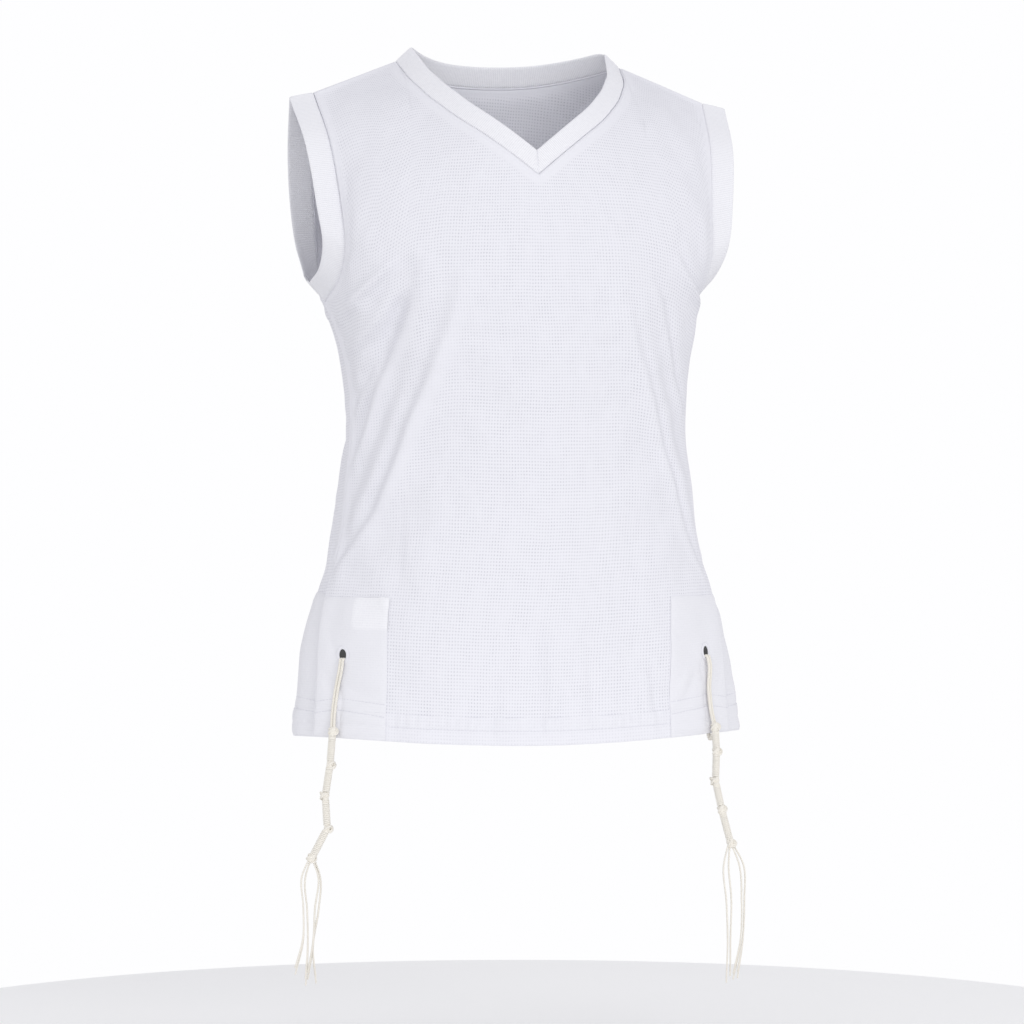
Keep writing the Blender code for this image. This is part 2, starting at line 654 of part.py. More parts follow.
def eyelet_backing(name, frame, collection):
    """The black backing that fills the upper part of the hole, above the strings."""
    half_width, half_height = HOLE_HALF_WIDTH - SEAM_GAP, HOLE_HALF_HEIGHT - SEAM_GAP
    start = math.asin(BACKING_CUT / half_height)
    angles = np.linspace(start, math.pi - start, EYELET_SIDES)
    point, sideways, upward, out = frame
    rim = (point + np.outer(np.cos(angles) * half_width, sideways)
           + np.outer(np.sin(angles) * half_height, upward))
    over = rim - out * SEAM_GAP
    under = over - out * BACKING_THICKNESS
    count = len(angles)
    faces = [list(range(count)), list(range(2 * count - 1, count - 1, -1))]
    for index in range(count):
        after = (index + 1) % count
        faces.append([after, index, index + count, after + count])
    return new_object(name, np.concatenate([over, under]), faces, collection, BLACK_BACKING)


def hole_cutter(name, frame, collection):
    """A plug that cuts the eyelet's hole through the patch and the panel."""
    near = oval(frame, HOLE_HALF_WIDTH, HOLE_HALF_HEIGHT, HOLE_CUT_REACH, EYELET_SIDES)
    far = oval(frame, HOLE_HALF_WIDTH, HOLE_HALF_HEIGHT, -HOLE_CUT_REACH, EYELET_SIDES)
    faces = [list(range(EYELET_SIDES)), list(range(2 * EYELET_SIDES - 1, EYELET_SIDES - 1, -1))]
    for index in range(EYELET_SIDES):
        after = (index + 1) % EYELET_SIDES
        faces.append([after, index, index + EYELET_SIDES, after + EYELET_SIDES])
    plug = new_object(name, np.concatenate([near, far]), faces, collection, BLACK_BACKING)
    hide(plug)
    return plug


def hide(obj):
    obj.hide_render = True
    obj.display_type = "WIRE"


def combine(obj, other, operation):
    modifier = obj.modifiers.new(other.name, "BOOLEAN")
    modifier.operation = operation
    modifier.object = other
    modifier.solver = "EXACT"


def smooth_path(points, count):
    """Evenly spread points on a smooth curve through a route's own points."""
    points = np.asarray(points, float)
    steps = np.linalg.norm(np.diff(points, axis=0), axis=1)
    keys = np.concatenate([[0.0], np.cumsum(steps)])
    at = np.linspace(0, keys[-1], count)
    return np.stack([smooth(keys, points[:, axis], at) for axis in range(3)], axis=-1)


def tube_sections(path, radii, sides, upright):
    """Sections of a tube along a path. upright is a direction that the path never takes."""
    tangents = unit(np.gradient(path, axis=0))
    beside = unit(np.cross(tangents, upright))
    above = np.cross(beside, tangents)
    angles = (np.arange(sides) + 0.5) * 2 * math.pi / sides
    ring = np.cos(angles)[None, :, None] * beside[:, None] + np.sin(angles)[None, :, None] * above[:, None]
    return path[:, None] + ring * np.asarray(radii)[:, None, None]


def tube_mesh(sections, first):
    """Points and faces of a closed tube whose point numbers start at first."""
    count, sides = sections.shape[:2]
    faces = [[first + side for side in reversed(range(sides))],
             [first + (count - 1) * sides + side for side in range(sides)]]
    for ring in range(count - 1):
        for side in range(sides):
            beside = (side + 1) % sides
            faces.append([first + ring * sides + side, first + ring * sides + beside,
                          first + (ring + 1) * sides + beside, first + (ring + 1) * sides + side])
    return sections.reshape(-1, 3), faces


def tubes_object(name, tubes, collection, finish):
    """One object from several tubes that stand apart."""
    points, faces, first = [], [], 0
    for sections in tubes:
        tube_points, tube_faces = tube_mesh(sections, first)
        points.append(tube_points)
        faces += tube_faces
        first += len(tube_points)
    return new_object(name, np.concatenate(points), faces, collection, finish)


def core_sections(centres):
    """The knotted and wound cord: thick at each knot and slimmer where it is wound."""
    path, radii = [], []
    for index, centre in enumerate(centres):
        ahead = centres[min(index + 1, len(centres) - 1)] - centres[max(index - 1, 0)]
        along = ahead / np.linalg.norm(ahead)
        for offset, radius in KNOT_SECTIONS:
            cord_end = (index, offset) in ((0, -1.0), (len(centres) - 1, 1.0))
            wound = abs(offset) == 1.0 and not cord_end
            path.append(centre + along * offset * KNOT_LENGTH)
            radii.append(WOUND_RADIUS if wound else KNOT_RADIUS * radius)
    return tube_sections(np.array(path), radii, CORD_SIDES, -TASSEL_AHEAD)


def tassel(name, panel, hand, knots, pairs, collection, cutters):
    """Strings through an eyelet and round the hem, knotted and wound, with free ends."""
    face = KNIT / 2 + HEM_RISE + SEAM_GAP * 2 + PATCH
    hem_point, hem_out = panel.place(TASSEL_KNOT_SHARE[hand], FIRST_KNOT_DROP)
    first = hem_point + hem_out * (face + KNOT_RADIUS)
    centres = [first + TASSEL_ACROSS * knot.across + DOWN * knot.below for knot in knots]
    core = tubes_object(name, [core_sections(centres)], collection, CREAM_STRING)
    tubes = [loop_sections(panel, hand, centres[0], side) for side in (-1, 1)]
    for number, pair in enumerate(pairs):
        tubes += [strand_sections(pair, number, side, centres[-1]) for side in (-1, 1)]
    strands = tubes_object(name + "_strands", tubes, cutters, CREAM_STRING)
    hide(strands)
    combine(core, strands, "UNION")


def loop_sections(panel, hand, knot, side):
    """A pair of strings from the knot up to the eyelet, through it and down behind the hem."""
    eye, sideways, upward, out = eyelet_frame(panel, hand)
    aside = sideways * side * PAIR_APART
    ahead = KNIT / 2 + SEAM_GAP + PATCH + PAIR_RADIUS + PAIR_CLEARANCE
    behind = KNIT / 2 + PAIR_RADIUS + PAIR_CLEARANCE
    knot_share, eyelet_share = TASSEL_KNOT_SHARE[hand], FRONT_EYELET_SHARE * hand
    route = [knot + upward + aside]
    for part, lift in UPWARD_STOPS:
        drop = HEM_DROP + (EYELET_DROP + EYE_STOP_DROP - HEM_DROP) * part
        point, normal = panel.place(knot_share + (eyelet_share - knot_share) * part, drop)
        route.append(point + normal * (ahead + lift) + aside)
    hole = eye - upward * STRINGS_BELOW_EYE
    route += [hole - upward * BEND_BELOW_EYE + out * BEND_OUT + aside, hole + out * ENTRY_OUT + aside,
              hole - out * ENTRY_IN + aside, hole - upward * EXIT_BELOW - out * EXIT_IN + aside]
    for part in DOWNWARD_STOPS:
        drop = EYELET_DROP + (HEM_DROP - EYELET_DROP) * part
        point, normal = panel.place(eyelet_share + (knot_share - eyelet_share) * part, drop)
        route.append(point - normal * (behind + PAIR_CLEARANCE) + aside)
    point, normal = panel.place(knot_share, HEM_PASS_DROP)
    route += [point - normal * behind + aside, point + DOWN * UNDER_HEM + aside,
              knot + DOWN * INTO_KNOT + aside]
    path = smooth_path(route, PAIR_STOPS)
    return tube_sections(path, np.full(PAIR_STOPS, PAIR_RADIUS), STRING_SIDES, sideways)


def strand_sections(pair, number, side, knot):
    """One free string of a pair, hanging from the last knot."""
    apart = side * STRING_APART
    root = TASSEL_ACROSS * (number - 1.5) * ROOT_STEP + DOWN * ROOT_BELOW
    route = [knot + root + TASSEL_AHEAD * (pair.depth * ROOT_DEPTH + apart * 0.5)]
    for share, across in zip(PAIR_SHARES, (pair.near, pair.middle, pair.low, pair.end)):
        fall = (pair.fall - FALL_DIFFERENCE * side * share) * share
        ahead = pair.depth + apart * (1.0 + STRING_SPREAD * share)
        route.append(knot + TASSEL_ACROSS * across + DOWN * fall + TASSEL_AHEAD * ahead)
    path = smooth_path(route, STRING_STOPS)
    return tube_sections(path, np.full(STRING_STOPS, STRING / 2), STRING_SIDES, TASSEL_AHEAD)


def main():
    clear_scene()
    parts = new_collection("tzitzit_tank_top")
    cutters = new_collection("cutters")
    front = Panel(FRONT_YOKE, FRONT_FOLDS, FRONT_NECK_COLUMNS)
    back = Panel(BACK_YOKE, BACK_FOLDS, BACK_NECK_COLUMNS)
    neck_band("neck_band", front, back, parts)
    armhole_band("armhole_band_right", -1, front, back, parts)
    armhole_band("armhole_band_left", 1, front, back, parts)
    for place, panel in (("front", front), ("back", back)):
        cloth = panel.solid(place + "_panel", parts)
        for wearer_side, hand in (("right", -1), ("left", 1)):
            corner = place + "_" + wearer_side
            frame = eyelet_frame(panel, hand)
            plug = hole_cutter("hole_" + corner, frame, cutters)
            patch = panel.patch("patch_" + corner, hand, parts)
            combine(cloth, plug, "DIFFERENCE")
            combine(patch, plug, "DIFFERENCE")
            eyelet_ring("eyelet_" + corner, frame, parts)
            eyelet_backing("eyelet_backing_" + corner, frame, parts)
    tassel("tassel_right", front, -1, RIGHT_KNOTS, RIGHT_PAIRS, parts, cutters)
    tassel("tassel_left", front, 1, LEFT_KNOTS, LEFT_PAIRS, parts, cutters)


main()
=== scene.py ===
"""Tzitzit tank top: the cloth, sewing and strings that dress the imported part.

A sleeveless V-neck undershirt of white mesh knit keeps the form of a wearer who isn't there.
Surfaces are worked out in millimetres, each sheet starts as a grid, and new_sheet turns it to
metres. The wearer faces -Y, their left is +X, and a drop is a distance below the origin, which
is midway between the points where the shoulder seams meet the neck band.
"""

import math
from collections import namedtuple

import bpy
import numpy as np
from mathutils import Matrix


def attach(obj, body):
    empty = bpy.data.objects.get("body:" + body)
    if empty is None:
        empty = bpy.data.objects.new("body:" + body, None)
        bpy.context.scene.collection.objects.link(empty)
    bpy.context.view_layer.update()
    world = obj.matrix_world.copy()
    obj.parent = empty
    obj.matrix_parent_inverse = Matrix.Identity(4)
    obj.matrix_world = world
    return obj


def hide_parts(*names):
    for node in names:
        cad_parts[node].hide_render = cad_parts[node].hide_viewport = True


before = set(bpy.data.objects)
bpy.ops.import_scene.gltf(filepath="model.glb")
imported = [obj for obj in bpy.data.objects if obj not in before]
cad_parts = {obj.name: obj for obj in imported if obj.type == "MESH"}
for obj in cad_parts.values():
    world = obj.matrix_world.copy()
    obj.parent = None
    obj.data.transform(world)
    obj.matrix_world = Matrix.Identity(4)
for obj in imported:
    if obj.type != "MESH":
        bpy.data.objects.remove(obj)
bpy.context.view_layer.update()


# ------------------------------------------------------------------------------------------
# Front panel. Its real piece is one cut of white polyester mesh knit, a square grid of small
# holes, shaped at the neck and the armholes. Its hem is turned up and stitched, and the seam
# allowances lie behind its edges, where they back the holes.
# ------------------------------------------------------------------------------------------
MM = 0.001
KNIT = 1.2
HEM_RISE = 0.6
SEAM_GAP = 0.3
ARMPIT_DROP = 182.0
SLIT_TOP_DROP = 371.0
PATCH_TOP_DROP = 398.0
HEM_FOLD_DROP = 482.0
HEM_STITCH_DROP = 492.0
HEM_DROP = 502.5
HEM_SAG = 5.5
HEM_TURN = -4.0
TURN_START_DROP = 300.0
AXIS_Y = -26.0

# Horizontal rings round the body, from the armpit to the hem
Ring = namedtuple("Ring", "drop middle half_width front back seam squareness")
RINGS = (
    Ring(182, -5.5, 140.5, 92.0, 92.0, 90.0, 0.80),
    Ring(210, -3.0, 134.0, 90.0, 86.0, 86.5, 0.84),
    Ring(246, -1.2, 129.5, 87.0, 78.0, 83.5, 0.88),
    Ring(282, -1.5, 129.0, 84.0, 73.0, 82.5, 0.90),
    Ring(318, -0.6, 133.5, 82.0, 71.0, 82.0, 0.94),
    Ring(354, -0.2, 137.5, 81.0, 71.0, 81.0, 1.00),
    Ring(390, -0.6, 148.0, 82.0, 72.0, 78.0, 1.05),
    Ring(426, -0.5, 159.5, 83.0, 73.0, 72.0, 1.10),
    Ring(462, 1.0, 166.0, 83.5, 73.0, 68.5, 1.15),
    Ring(508, 1.6, 171.0, 84.0, 73.0, 66.5, 1.15),
)
BACK_SQUARENESS = 0.9

# The shoulder seam, and how each panel rises from the armpit to it
NECK_POINT = (87.4, 0.0, 0.0)
SHOULDER_TIP = (151.5, -6.0, -25.5)
NECK_SHARE = 0.5
NECK_SKEW = 6.0
Yoke = namedtuple("Yoke", "facing base_y base_z start_lean start_pull neck_pitch neck_pull "
                          "shoulder_pitch shoulder_pull")
FRONT_YOKE = Yoke(-1, -80.0, -25.0, 0.0, 200.0, 53.0, 120.0, 24.0, 300.0)
BACK_YOKE = Yoke(1, 42.0, 2.0, 0.15, 200.0, 60.0, 120.0, 24.0, 300.0)
Neck = namedtuple("Neck", "out drop")
FRONT_NECK = (Neck(0, 91.5), Neck(19, 76), Neck(37, 62), Neck(63, 41), Neck(79, 22), Neck(85.5, 9),
              Neck(87.4, 0))
BACK_NECK = (Neck(0, 12.5), Neck(30, 11.5), Neck(55, 8), Neck(72, 4), Neck(82, 1.2), Neck(87.4, 0))

# The armhole seam from the underarm to the shoulder tip
Arm = namedtuple("Arm", "out y drop lean")
FRONT_ARM = (Arm(140.5, -26, 182, 50), Arm(139.0, -50, 170, 42), Arm(139.5, -65, 143, 28),
             Arm(142.0, -57, 107, 8), Arm(146.5, -42, 66, 3), Arm(151.5, -6, 25.5, 12))
BACK_ARM = (Arm(140.5, -26, 182, 50), Arm(141.0, 3, 173, 42), Arm(142.0, 24, 150, 28),
            Arm(143.5, 30, 115, 12), Arm(146.5, 23, 72, 4), Arm(151.5, -6, 25.5, 12))
ARM_SHIFT_END = 0.3

# Main folds, as in the solids. across is a share of the half panel from the wearer's right, -1,
# to their left, 1.
Fold = namedtuple("Fold", "across_a drop_a across_b drop_b width height")
PANEL_REACH = 170.0
FOLD_FADE_START = 0.88
FOLD_FADE_END = 0.985
FOLD_BLUNTNESS = 0.7
FRONT_FOLDS = (
    Fold(-0.27, 158, -1.00, 392, 13, 4.2),
    Fold(-0.40, 158, -1.00, 345, 12, -3.4),
    Fold(-0.58, 150, -1.00, 268, 12, 3.0),
    Fold(0.27, 165, 0.96, 398, 13, 3.6),
    Fold(0.40, 165, 0.97, 345, 12, -2.8),
    Fold(0.60, 140, 0.99, 235, 12, 2.6),
    Fold(-0.42, 300, -0.47, 430, 14, 1.8),
    Fold(0.06, 330, 0.10, 480, 16, 1.8),
    Fold(0.33, 345, 0.40, 495, 15, -1.8),
    Fold(-0.20, 380, -0.16, 510, 17, -1.8),
)
# Small folds near the corners, where the cords and the patches pull at the cloth
FRONT_CORNER_FOLDS = (
    Fold(-0.97, 418, -0.84, 444, 5.0, -1.0),
    Fold(-0.99, 452, -0.87, 467, 5.0, -1.3),
    Fold(-0.84, 465, -0.56, 475, 5.0, -1.5),
    Fold(-0.82, 451, -0.56, 456, 8.0, 1.0),
    Fold(-0.82, 482, -0.56, 489, 6.0, 0.8),
    Fold(-0.85, 460, -0.81, 477, 2.4, -1.2),
    Fold(-0.81, 472, -0.83, 503, 2.4, -1.2),
    Fold(-0.65, 396, -0.57, 413, 2.4, 0.9),
    Fold(0.60, 480, 0.70, 454, 3.0, 1.0),
    Fold(0.65, 481, 0.75, 456, 3.5, -0.9),
    Fold(0.90, 467, 0.98, 456, 3.0, -1.0),
    Fold(0.77, 448, 0.80, 468, 2.4, -1.0),
    Fold(0.80, 464, 0.81, 503, 2.4, -1.4),
    Fold(0.00, 380, -0.02, 505, 12.0, -1.7),
)

# Finer creases. Each runs down a path of shares and drops. It falls off steeply to one side, -1
# for the wearer's right, into a trough beside it, and gently to the other. The trough's place and
# width are in widths of the steep side. The holes of the knit are fainter on high crests.
Crease = namedtuple("Crease", "side steep gentle height path")
CREASE_TROUGH = 0.75
TROUGH_PLACE = 2.2
TROUGH_WIDTH = 1.4
CREASE_BLUNTNESS = 0.6
CREASE_FADE_START = 0.93
CREASE_FADE_END = 0.995
CREST_START = 1.6
CREST_END = 3.6
CREST_FAINT = 0.75
FRONT_CREASES = (
    Crease(-1, 4.6, 12, 4.6, ((-0.27, 158), (-0.29, 184), (-0.36, 208), (-0.44, 233), (-0.54, 265),
                              (-0.62, 299), (-0.73, 341), (-0.99, 390))),
    Crease(-1, 4.6, 9, 4.2, ((-0.41, 152), (-0.44, 176), (-0.51, 198), (-0.65, 228), (-0.79, 258),
                             (-0.87, 286), (-0.99, 313))),
    Crease(-1, 3.4, 4.5, 2.6, ((-0.70, 222), (-0.80, 242), (-0.98, 270))),
    Crease(1, 3.6, 5, 3.2, ((-0.54, 152), (-0.65, 170), (-0.76, 184), (-0.98, 202))),
    Crease(1, 3.6, 5, 3.0, ((-0.44, 166), (-0.56, 184), (-0.71, 204), (-0.98, 226))),
    Crease(1, 3.4, 8, 2.6, ((0.28, 170), (0.37, 214), (0.49, 257), (0.60, 304), (0.71, 347),
                            (0.95, 402))),
    Crease(1, 3.0, 7, 2.2, ((0.42, 162), (0.54, 201), (0.70, 243), (0.96, 286))),
    Crease(1, 2.8, 5, 2.2, ((0.55, 144), (0.68, 168), (0.95, 193))),
    Crease(-1, 2.8, 6, 0.6, ((-0.57, 330), (-0.54, 360), (-0.51, 392))),
    Crease(-1, 2.8, 6, 1.3, ((0.05, 425), (0.06, 460), (0.07, 503))),
    Crease(1, 2.8, 6, 1.1, ((0.18, 440), (0.19, 470), (0.21, 503))),
    Crease(-1, 2.8, 6, 1.0, ((-0.10, 460), (-0.11, 480), (-0.13, 503))),
    Crease(1, 2.8, 6, 1.1, ((0.45, 450), (0.47, 476), (0.50, 503))),
)

# Front corners swing out over the back corners, which tuck in under them
SLIT_OPENING = 24.0
SLIT_OVERLAP_START = 30.0
SLIT_OVERLAP_END = 75.0
SLIT_EDGE_SHARE = 0.16
FRONT_FLARE = 1.6
BACK_TUCK = 3.0
BACK_OVERLAP_ANGLE = 1.6

# Spacing of the grid: even over the cloth and closer beside a seam or the hem
COLUMN_SPACING = 2.0
ROW_SPACING = 2.7
EDGE_STEPS = (0.15, 0.6, 1.1, 1.7, 2.4, 3.3, 4.4, 5.8, 7.4)
TOP_STEPS = (0.06, 0.045, 0.033, 0.024, 0.017, 0.011, 0.006, 0.003, 0.0)
HEM_STEPS = (0.0, 0.25, 0.6, 1.1, 1.8, 2.8, 4.0, 5.4, 6.8, 8.2, 9.4, 10.4, 11.4, 12.6, 14.2, 16.0,
             17.8, 19.2, 19.9, 20.4, 20.9, 21.6)
YOKE_ROWS = 68
UP = np.array([0.0, 0.0, 1.0])
TINY = 1e-9
FAR = 1e9

# A column of the yoke is about this long, and the neck's cut is looked for along part of it
YOKE_LENGTH = 236.6
NECK_SEARCH_START = 0.2
NECK_SEARCH_STEPS = 401

# The seam allowances back the cloth out to these distances. They show as a soft step, and as a
# roll beside the seam that dives into it.
NECK_ALLOWANCE = 7.5
ARM_ALLOWANCE = 6.0
SHOULDER_ALLOWANCE = 5.0
SIDE_ALLOWANCE = 5.0
ALLOWANCE_RISE = 0.45
STEP_START = -1.2
STEP_END = 1.4
SEAM_ROLL = 0.5
ROLL_PLACE = 1.7
ROLL_WIDTH = 1.0
SEAM_DIVE = 0.4
DIVE_WIDTH = 0.6

# The hem is doubled. It puckers above its stitches and waves slowly, but only between the
# patches, whose inner edges are at PATCH_SHARE.
PATCH_SHARE = 0.585
FREE_FADE = 0.06
HEM_FOLD_BLUR = 0.5
HEM_STITCH_DIP = 0.5
HEM_STITCH_WIDTH = 1.5
HEM_ROUNDING = 0.5
HEM_ROUNDING_HEIGHT = 0.9
PUCKER = 0.5
PUCKER_LENGTH = 7.3
PUCKER_RISE = 5.0
PUCKER_WIDTH = 5.5
PUCKER_SWAY = 1.4
PUCKER_SWAY_LENGTH = 19.0
HEM_WAVE = 0.7
HEM_WAVE_LENGTH = 36.0
HEM_SWAY_LENGTH = 23.0

# Unevenness all over, as washed cloth has, that calms down beside the neck and shoulder seams
CRUMPLE = 0.0024
CRUMPLE_WAVES = 28
CRUMPLE_LENGTHS = (14, 55)
CALM_START = 0.9
CALM_MARGIN = 0.01

# Towards the sides the rows of the knit dip, most of all near the armpits
ROW_DIP = 26.0
ROW_DIP_START = 0.3
ROW_DIP_DROP = 200.0
ROW_DIP_REACH = 110.0

# How much fainter the holes are on the doubled hem, and towards the sides
HEM_FAINT = 0.62
SIDE_FAINT = 0.15
SIDE_FAINT_START = 0.5
SIDE_FAINT_END = 0.85

# On the wearer's left the knit is drawn wider, which spreads its wales
SIDE_STRETCH = 0.14
STRETCH_START = 45.0

# The mesh knit: pitch of its holes and wander of its threads in metres, its colours, and how
# strong the grooves between its rows are, and the holes that a layer backs. The holes and the
# grooves are painted darker as shade: the holes with the shade of the garment's inside seen
# through them.
MESH_PITCH = (0.00214, 0.00246)
MESH_WANDER = 0.0009
MESH_COLOUR = "E8E8EE"
HOLE_SHADE_COLOUR = "C9C9D1"
ROW_GROOVE = 0.04
BACKED_STRENGTH = 0.12


def linear(code):
    """Linear colour from an sRGB hex code."""
    parts = [int(code[index:index + 2], 16) / 255 for index in (0, 2, 4)]
    parts = [part / 12.92 if part <= 0.04045 else ((part + 0.055) / 1.055) ** 2.4 for part in parts]
    return (*parts, 1.0)


def add(tree, kind, inputs, **settings):
    """A new shader node, its inputs set to values or joined to sockets. Gives its first output."""
    node = tree.nodes.new(kind)
    for name, value in settings.items():
        setattr(node, name, value)
    for name, value in inputs.items():
        if isinstance(value, bpy.types.NodeSocket):
            tree.links.new(value, node.inputs[name])
        else:
            node.inputs[name].default_value = value
    return node.outputs[0]


def new_material(name, colour, roughness):
    """A Principled material with its node tree and shader."""
    material = bpy.data.materials.new(name)
    material.use_nodes = True
    shader = material.node_tree.nodes["Principled BSDF"]
    shader.inputs["Base Color"].default_value = linear(colour)
    shader.inputs["Roughness"].default_value = roughness
    return material, material.node_tree, shader


def calc(tree, operation, *values, **settings):
    """The result of a maths node."""
    return add(tree, "ShaderNodeMath", dict(enumerate(values)), operation=operation, **settings)


def blend(tree, share, start, end):
    """A colour a share of the way from one to another, each given as a hex code or a socket."""
    start, end = (linear(colour) if isinstance(colour, str) else colour for colour in (start, end))
    mix = add(tree, "ShaderNodeMix", {"Factor": share, "A": start, "B": end}, data_type="RGBA")
    return mix.node.outputs["Result"]


def set_surface(tree, shader, colour, height, strength, distance=0.0003, invert=False):
    """Joins a colour and a bump to a shader."""
    tree.links.new(colour, shader.inputs["Base Color"])
    bump = add(tree, "ShaderNodeBump", {"Strength": strength, "Distance": distance,
                                        "Height": height}, invert=invert)
    tree.links.new(bump, shader.inputs["Normal"])


def wave(tree, value, pitch):
    """A wave along one coordinate in metres: 0 on each thread and 1 midway between threads."""
    cosine = calc(tree, "COSINE", calc(tree, "MULTIPLY", value, 2 * math.pi / pitch))
    return calc(tree, "MULTIPLY_ADD", cosine, -0.5, 0.5)


def patchy(tree, scale, low, high):
    """A strength that drifts between two values over the cloth."""
    noise = add(tree, "ShaderNodeTexNoise", {"Scale": scale, "Detail": 3.0})
    return add(tree, "ShaderNodeMapRange", {"Value": noise, "From Min": 0.3, "From Max": 0.7,
                                            "To Min": low, "To Max": high})


def stored(tree, name):
    """A number stored at each point of the sheet."""
    return add(tree, "ShaderNodeAttribute", {}, attribute_name=name).node.outputs["Fac"]


def uneven_uv(tree, amount):
    """The cloth's own coordinates in metres, with threads that wander by a small amount."""
    uv = add(tree, "ShaderNodeUVMap", {})
    noise = add(tree, "ShaderNodeTexNoise", {"Vector": uv, "Scale": 130.0, "Detail": 2.0})
    wander = noise.node.outputs["Color"]
    centred = add(tree, "ShaderNodeVectorMath", {0: wander, 1: (0.5, 0.5, 0.5)}, operation="SUBTRACT")
    small = add(tree, "ShaderNodeVectorMath", {0: centred, "Scale": amount}, operation="SCALE")
    moved = add(tree, "ShaderNodeVectorMath", {0: uv, 1: small}, operation="ADD")
    return add(tree, "ShaderNodeSeparateXYZ", {"Vector": moved})


def mesh_knit_material():
    """White mesh knit: small holes on a square grid, fainter where a layer backs them.

    The holes are painted darker with the shade of the garment's inside seen through them, and the
    grooves between rows get a little painted shade too.
    """
    material, tree, shader = new_material("white mesh knit", MESH_COLOUR, 0.9)
    along = uneven_uv(tree, MESH_WANDER)
    between_wales = wave(tree, along, MESH_PITCH[0])
    between_rows = wave(tree, along.node.outputs["Y"], MESH_PITCH[1])
    both = calc(tree, "MULTIPLY", between_wales, between_rows)
    hole = add(tree, "ShaderNodeMapRange", {"Value": both, "From Min": 0.25, "From Max": 0.85},
               interpolation_type="SMOOTHSTEP")
    # Painted shade in the grooves between rows, added to the painted shade of the holes
    grooves = calc(tree, "MULTIPLY_ADD", between_rows, ROW_GROOVE, hole)
    bare = add(tree, "ShaderNodeMapRange", {"Value": stored(tree, "backed"), "To Min": 1.0,
                                            "To Max": BACKED_STRENGTH})
    shown = calc(tree, "MULTIPLY", patchy(tree, 34.0, 0.4, 0.85), bare)
    depth = calc(tree, "MULTIPLY", grooves, shown, use_clamp=True)
    fibre = add(tree, "ShaderNodeTexNoise", {"Scale": 1500.0, "Detail": 2.0})
    height = calc(tree, "MULTIPLY_ADD", depth, -1.0, fibre)
    # Holes and grooves are painted a darker colour as shade, and also dent the bump
    set_surface(tree, shader, blend(tree, depth, MESH_COLOUR, HOLE_SHADE_COLOUR), height, 0.4)
    return material


def smooth(keys, values, at):
    """Value of a smooth curve through a table's rows."""
    keys = np.asarray(keys, float)
    values = np.asarray(values, float)
    slopes = np.gradient(values, keys)
    at = np.clip(at, keys[0], keys[-1])
    low = np.clip(np.searchsorted(keys, at, side="right") - 1, 0, len(keys) - 2)
    step = keys[low + 1] - keys[low]
    share = (at - keys[low]) / step
    left, right = (1 - share) ** 2, share ** 2
    start = (1 + 2 * share) * left * values[low] + share * left * step * slopes[low]
    finish = (3 - 2 * share) * right * values[low + 1] - (1 - share) * right * step * slopes[low + 1]
    return start + finish


def smooth_points(keys, points, at):
    """Points of a smooth curve through a table of points."""
    return np.stack([smooth(keys, points[:, axis], at) for axis in range(3)], axis=-1)


def column(table, name):
    return [getattr(row, name) for row in table]


def ramp(value, start, end):
    """0 before start, 1 after end and a smooth rise between."""
    share = np.clip((value - start) / (end - start), 0.0, 1.0)
    return share * share * (3 - 2 * share)


def hump(distance, width):
    """1 where the distance is 0, and a smooth fall to both sides."""
    return np.exp(-(distance / width) ** 2)


def unit(vectors):
    return vectors / np.linalg.norm(vectors, axis=-1, keepdims=True)


def around(angle, across, above):
    """Directions at angles round a circle, or an ellipse, from one axis towards another."""
    return np.cos(angle)[..., None] * across + np.sin(angle)[..., None] * above


def ring_value(name, drop):
    return smooth(column(RINGS, "drop"), column(RINGS, name), drop)


def body_point(facing, across, drop):
    """Middle of the cloth below the armpit. facing is -1 for the front and 1 for the back."""
    seam = np.radians(ring_value("seam", drop))
    overlap = ramp(drop, SLIT_TOP_DROP + SLIT_OVERLAP_START, SLIT_TOP_DROP + SLIT_OVERLAP_END)
    if facing < 0:
        angle = across * seam
    else:
        seam = seam - overlap * math.radians(BACK_OVERLAP_ANGLE)
        angle = np.sign(across + TINY) * (math.pi - np.abs(across) * (math.pi - seam))
    angle = angle + math.radians(HEM_TURN) * ramp(drop, TURN_START_DROP, HEM_DROP)
    ahead = np.cos(angle)
    in_front = ahead > 0
    depth = np.where(in_front, -ring_value("front", drop), ring_value("back", drop))
    power = np.where(in_front, ring_value("squareness", drop), BACK_SQUARENESS)
    x = ring_value("middle", drop) + ring_value("half_width", drop) * np.sin(angle)
    y = AXIS_Y + depth * np.abs(ahead) ** power
    sag = HEM_SAG * ramp(drop, PATCH_TOP_DROP, HEM_DROP) * np.cos(across * math.pi / 2) ** 2
    return np.stack([x, y, -(drop + sag)], axis=-1)


def arm_seam(table, hand, rise):
    """Point of the armhole seam and the band's lean there. rise runs from underarm to tip."""
    points = np.array([(row.out, row.y, -row.drop) for row in table], float)
    keys = arc_lengths(points, 0)
    keys = keys / keys[-1]
    place = smooth_points(keys, points, rise)
    place[..., 0] *= hand
    place[..., 0] += ring_value("middle", ARMPIT_DROP) * (1 - ramp(rise, 0.0, ARM_SHIFT_END))
    return place, smooth(keys, column(table, "lean"), rise)


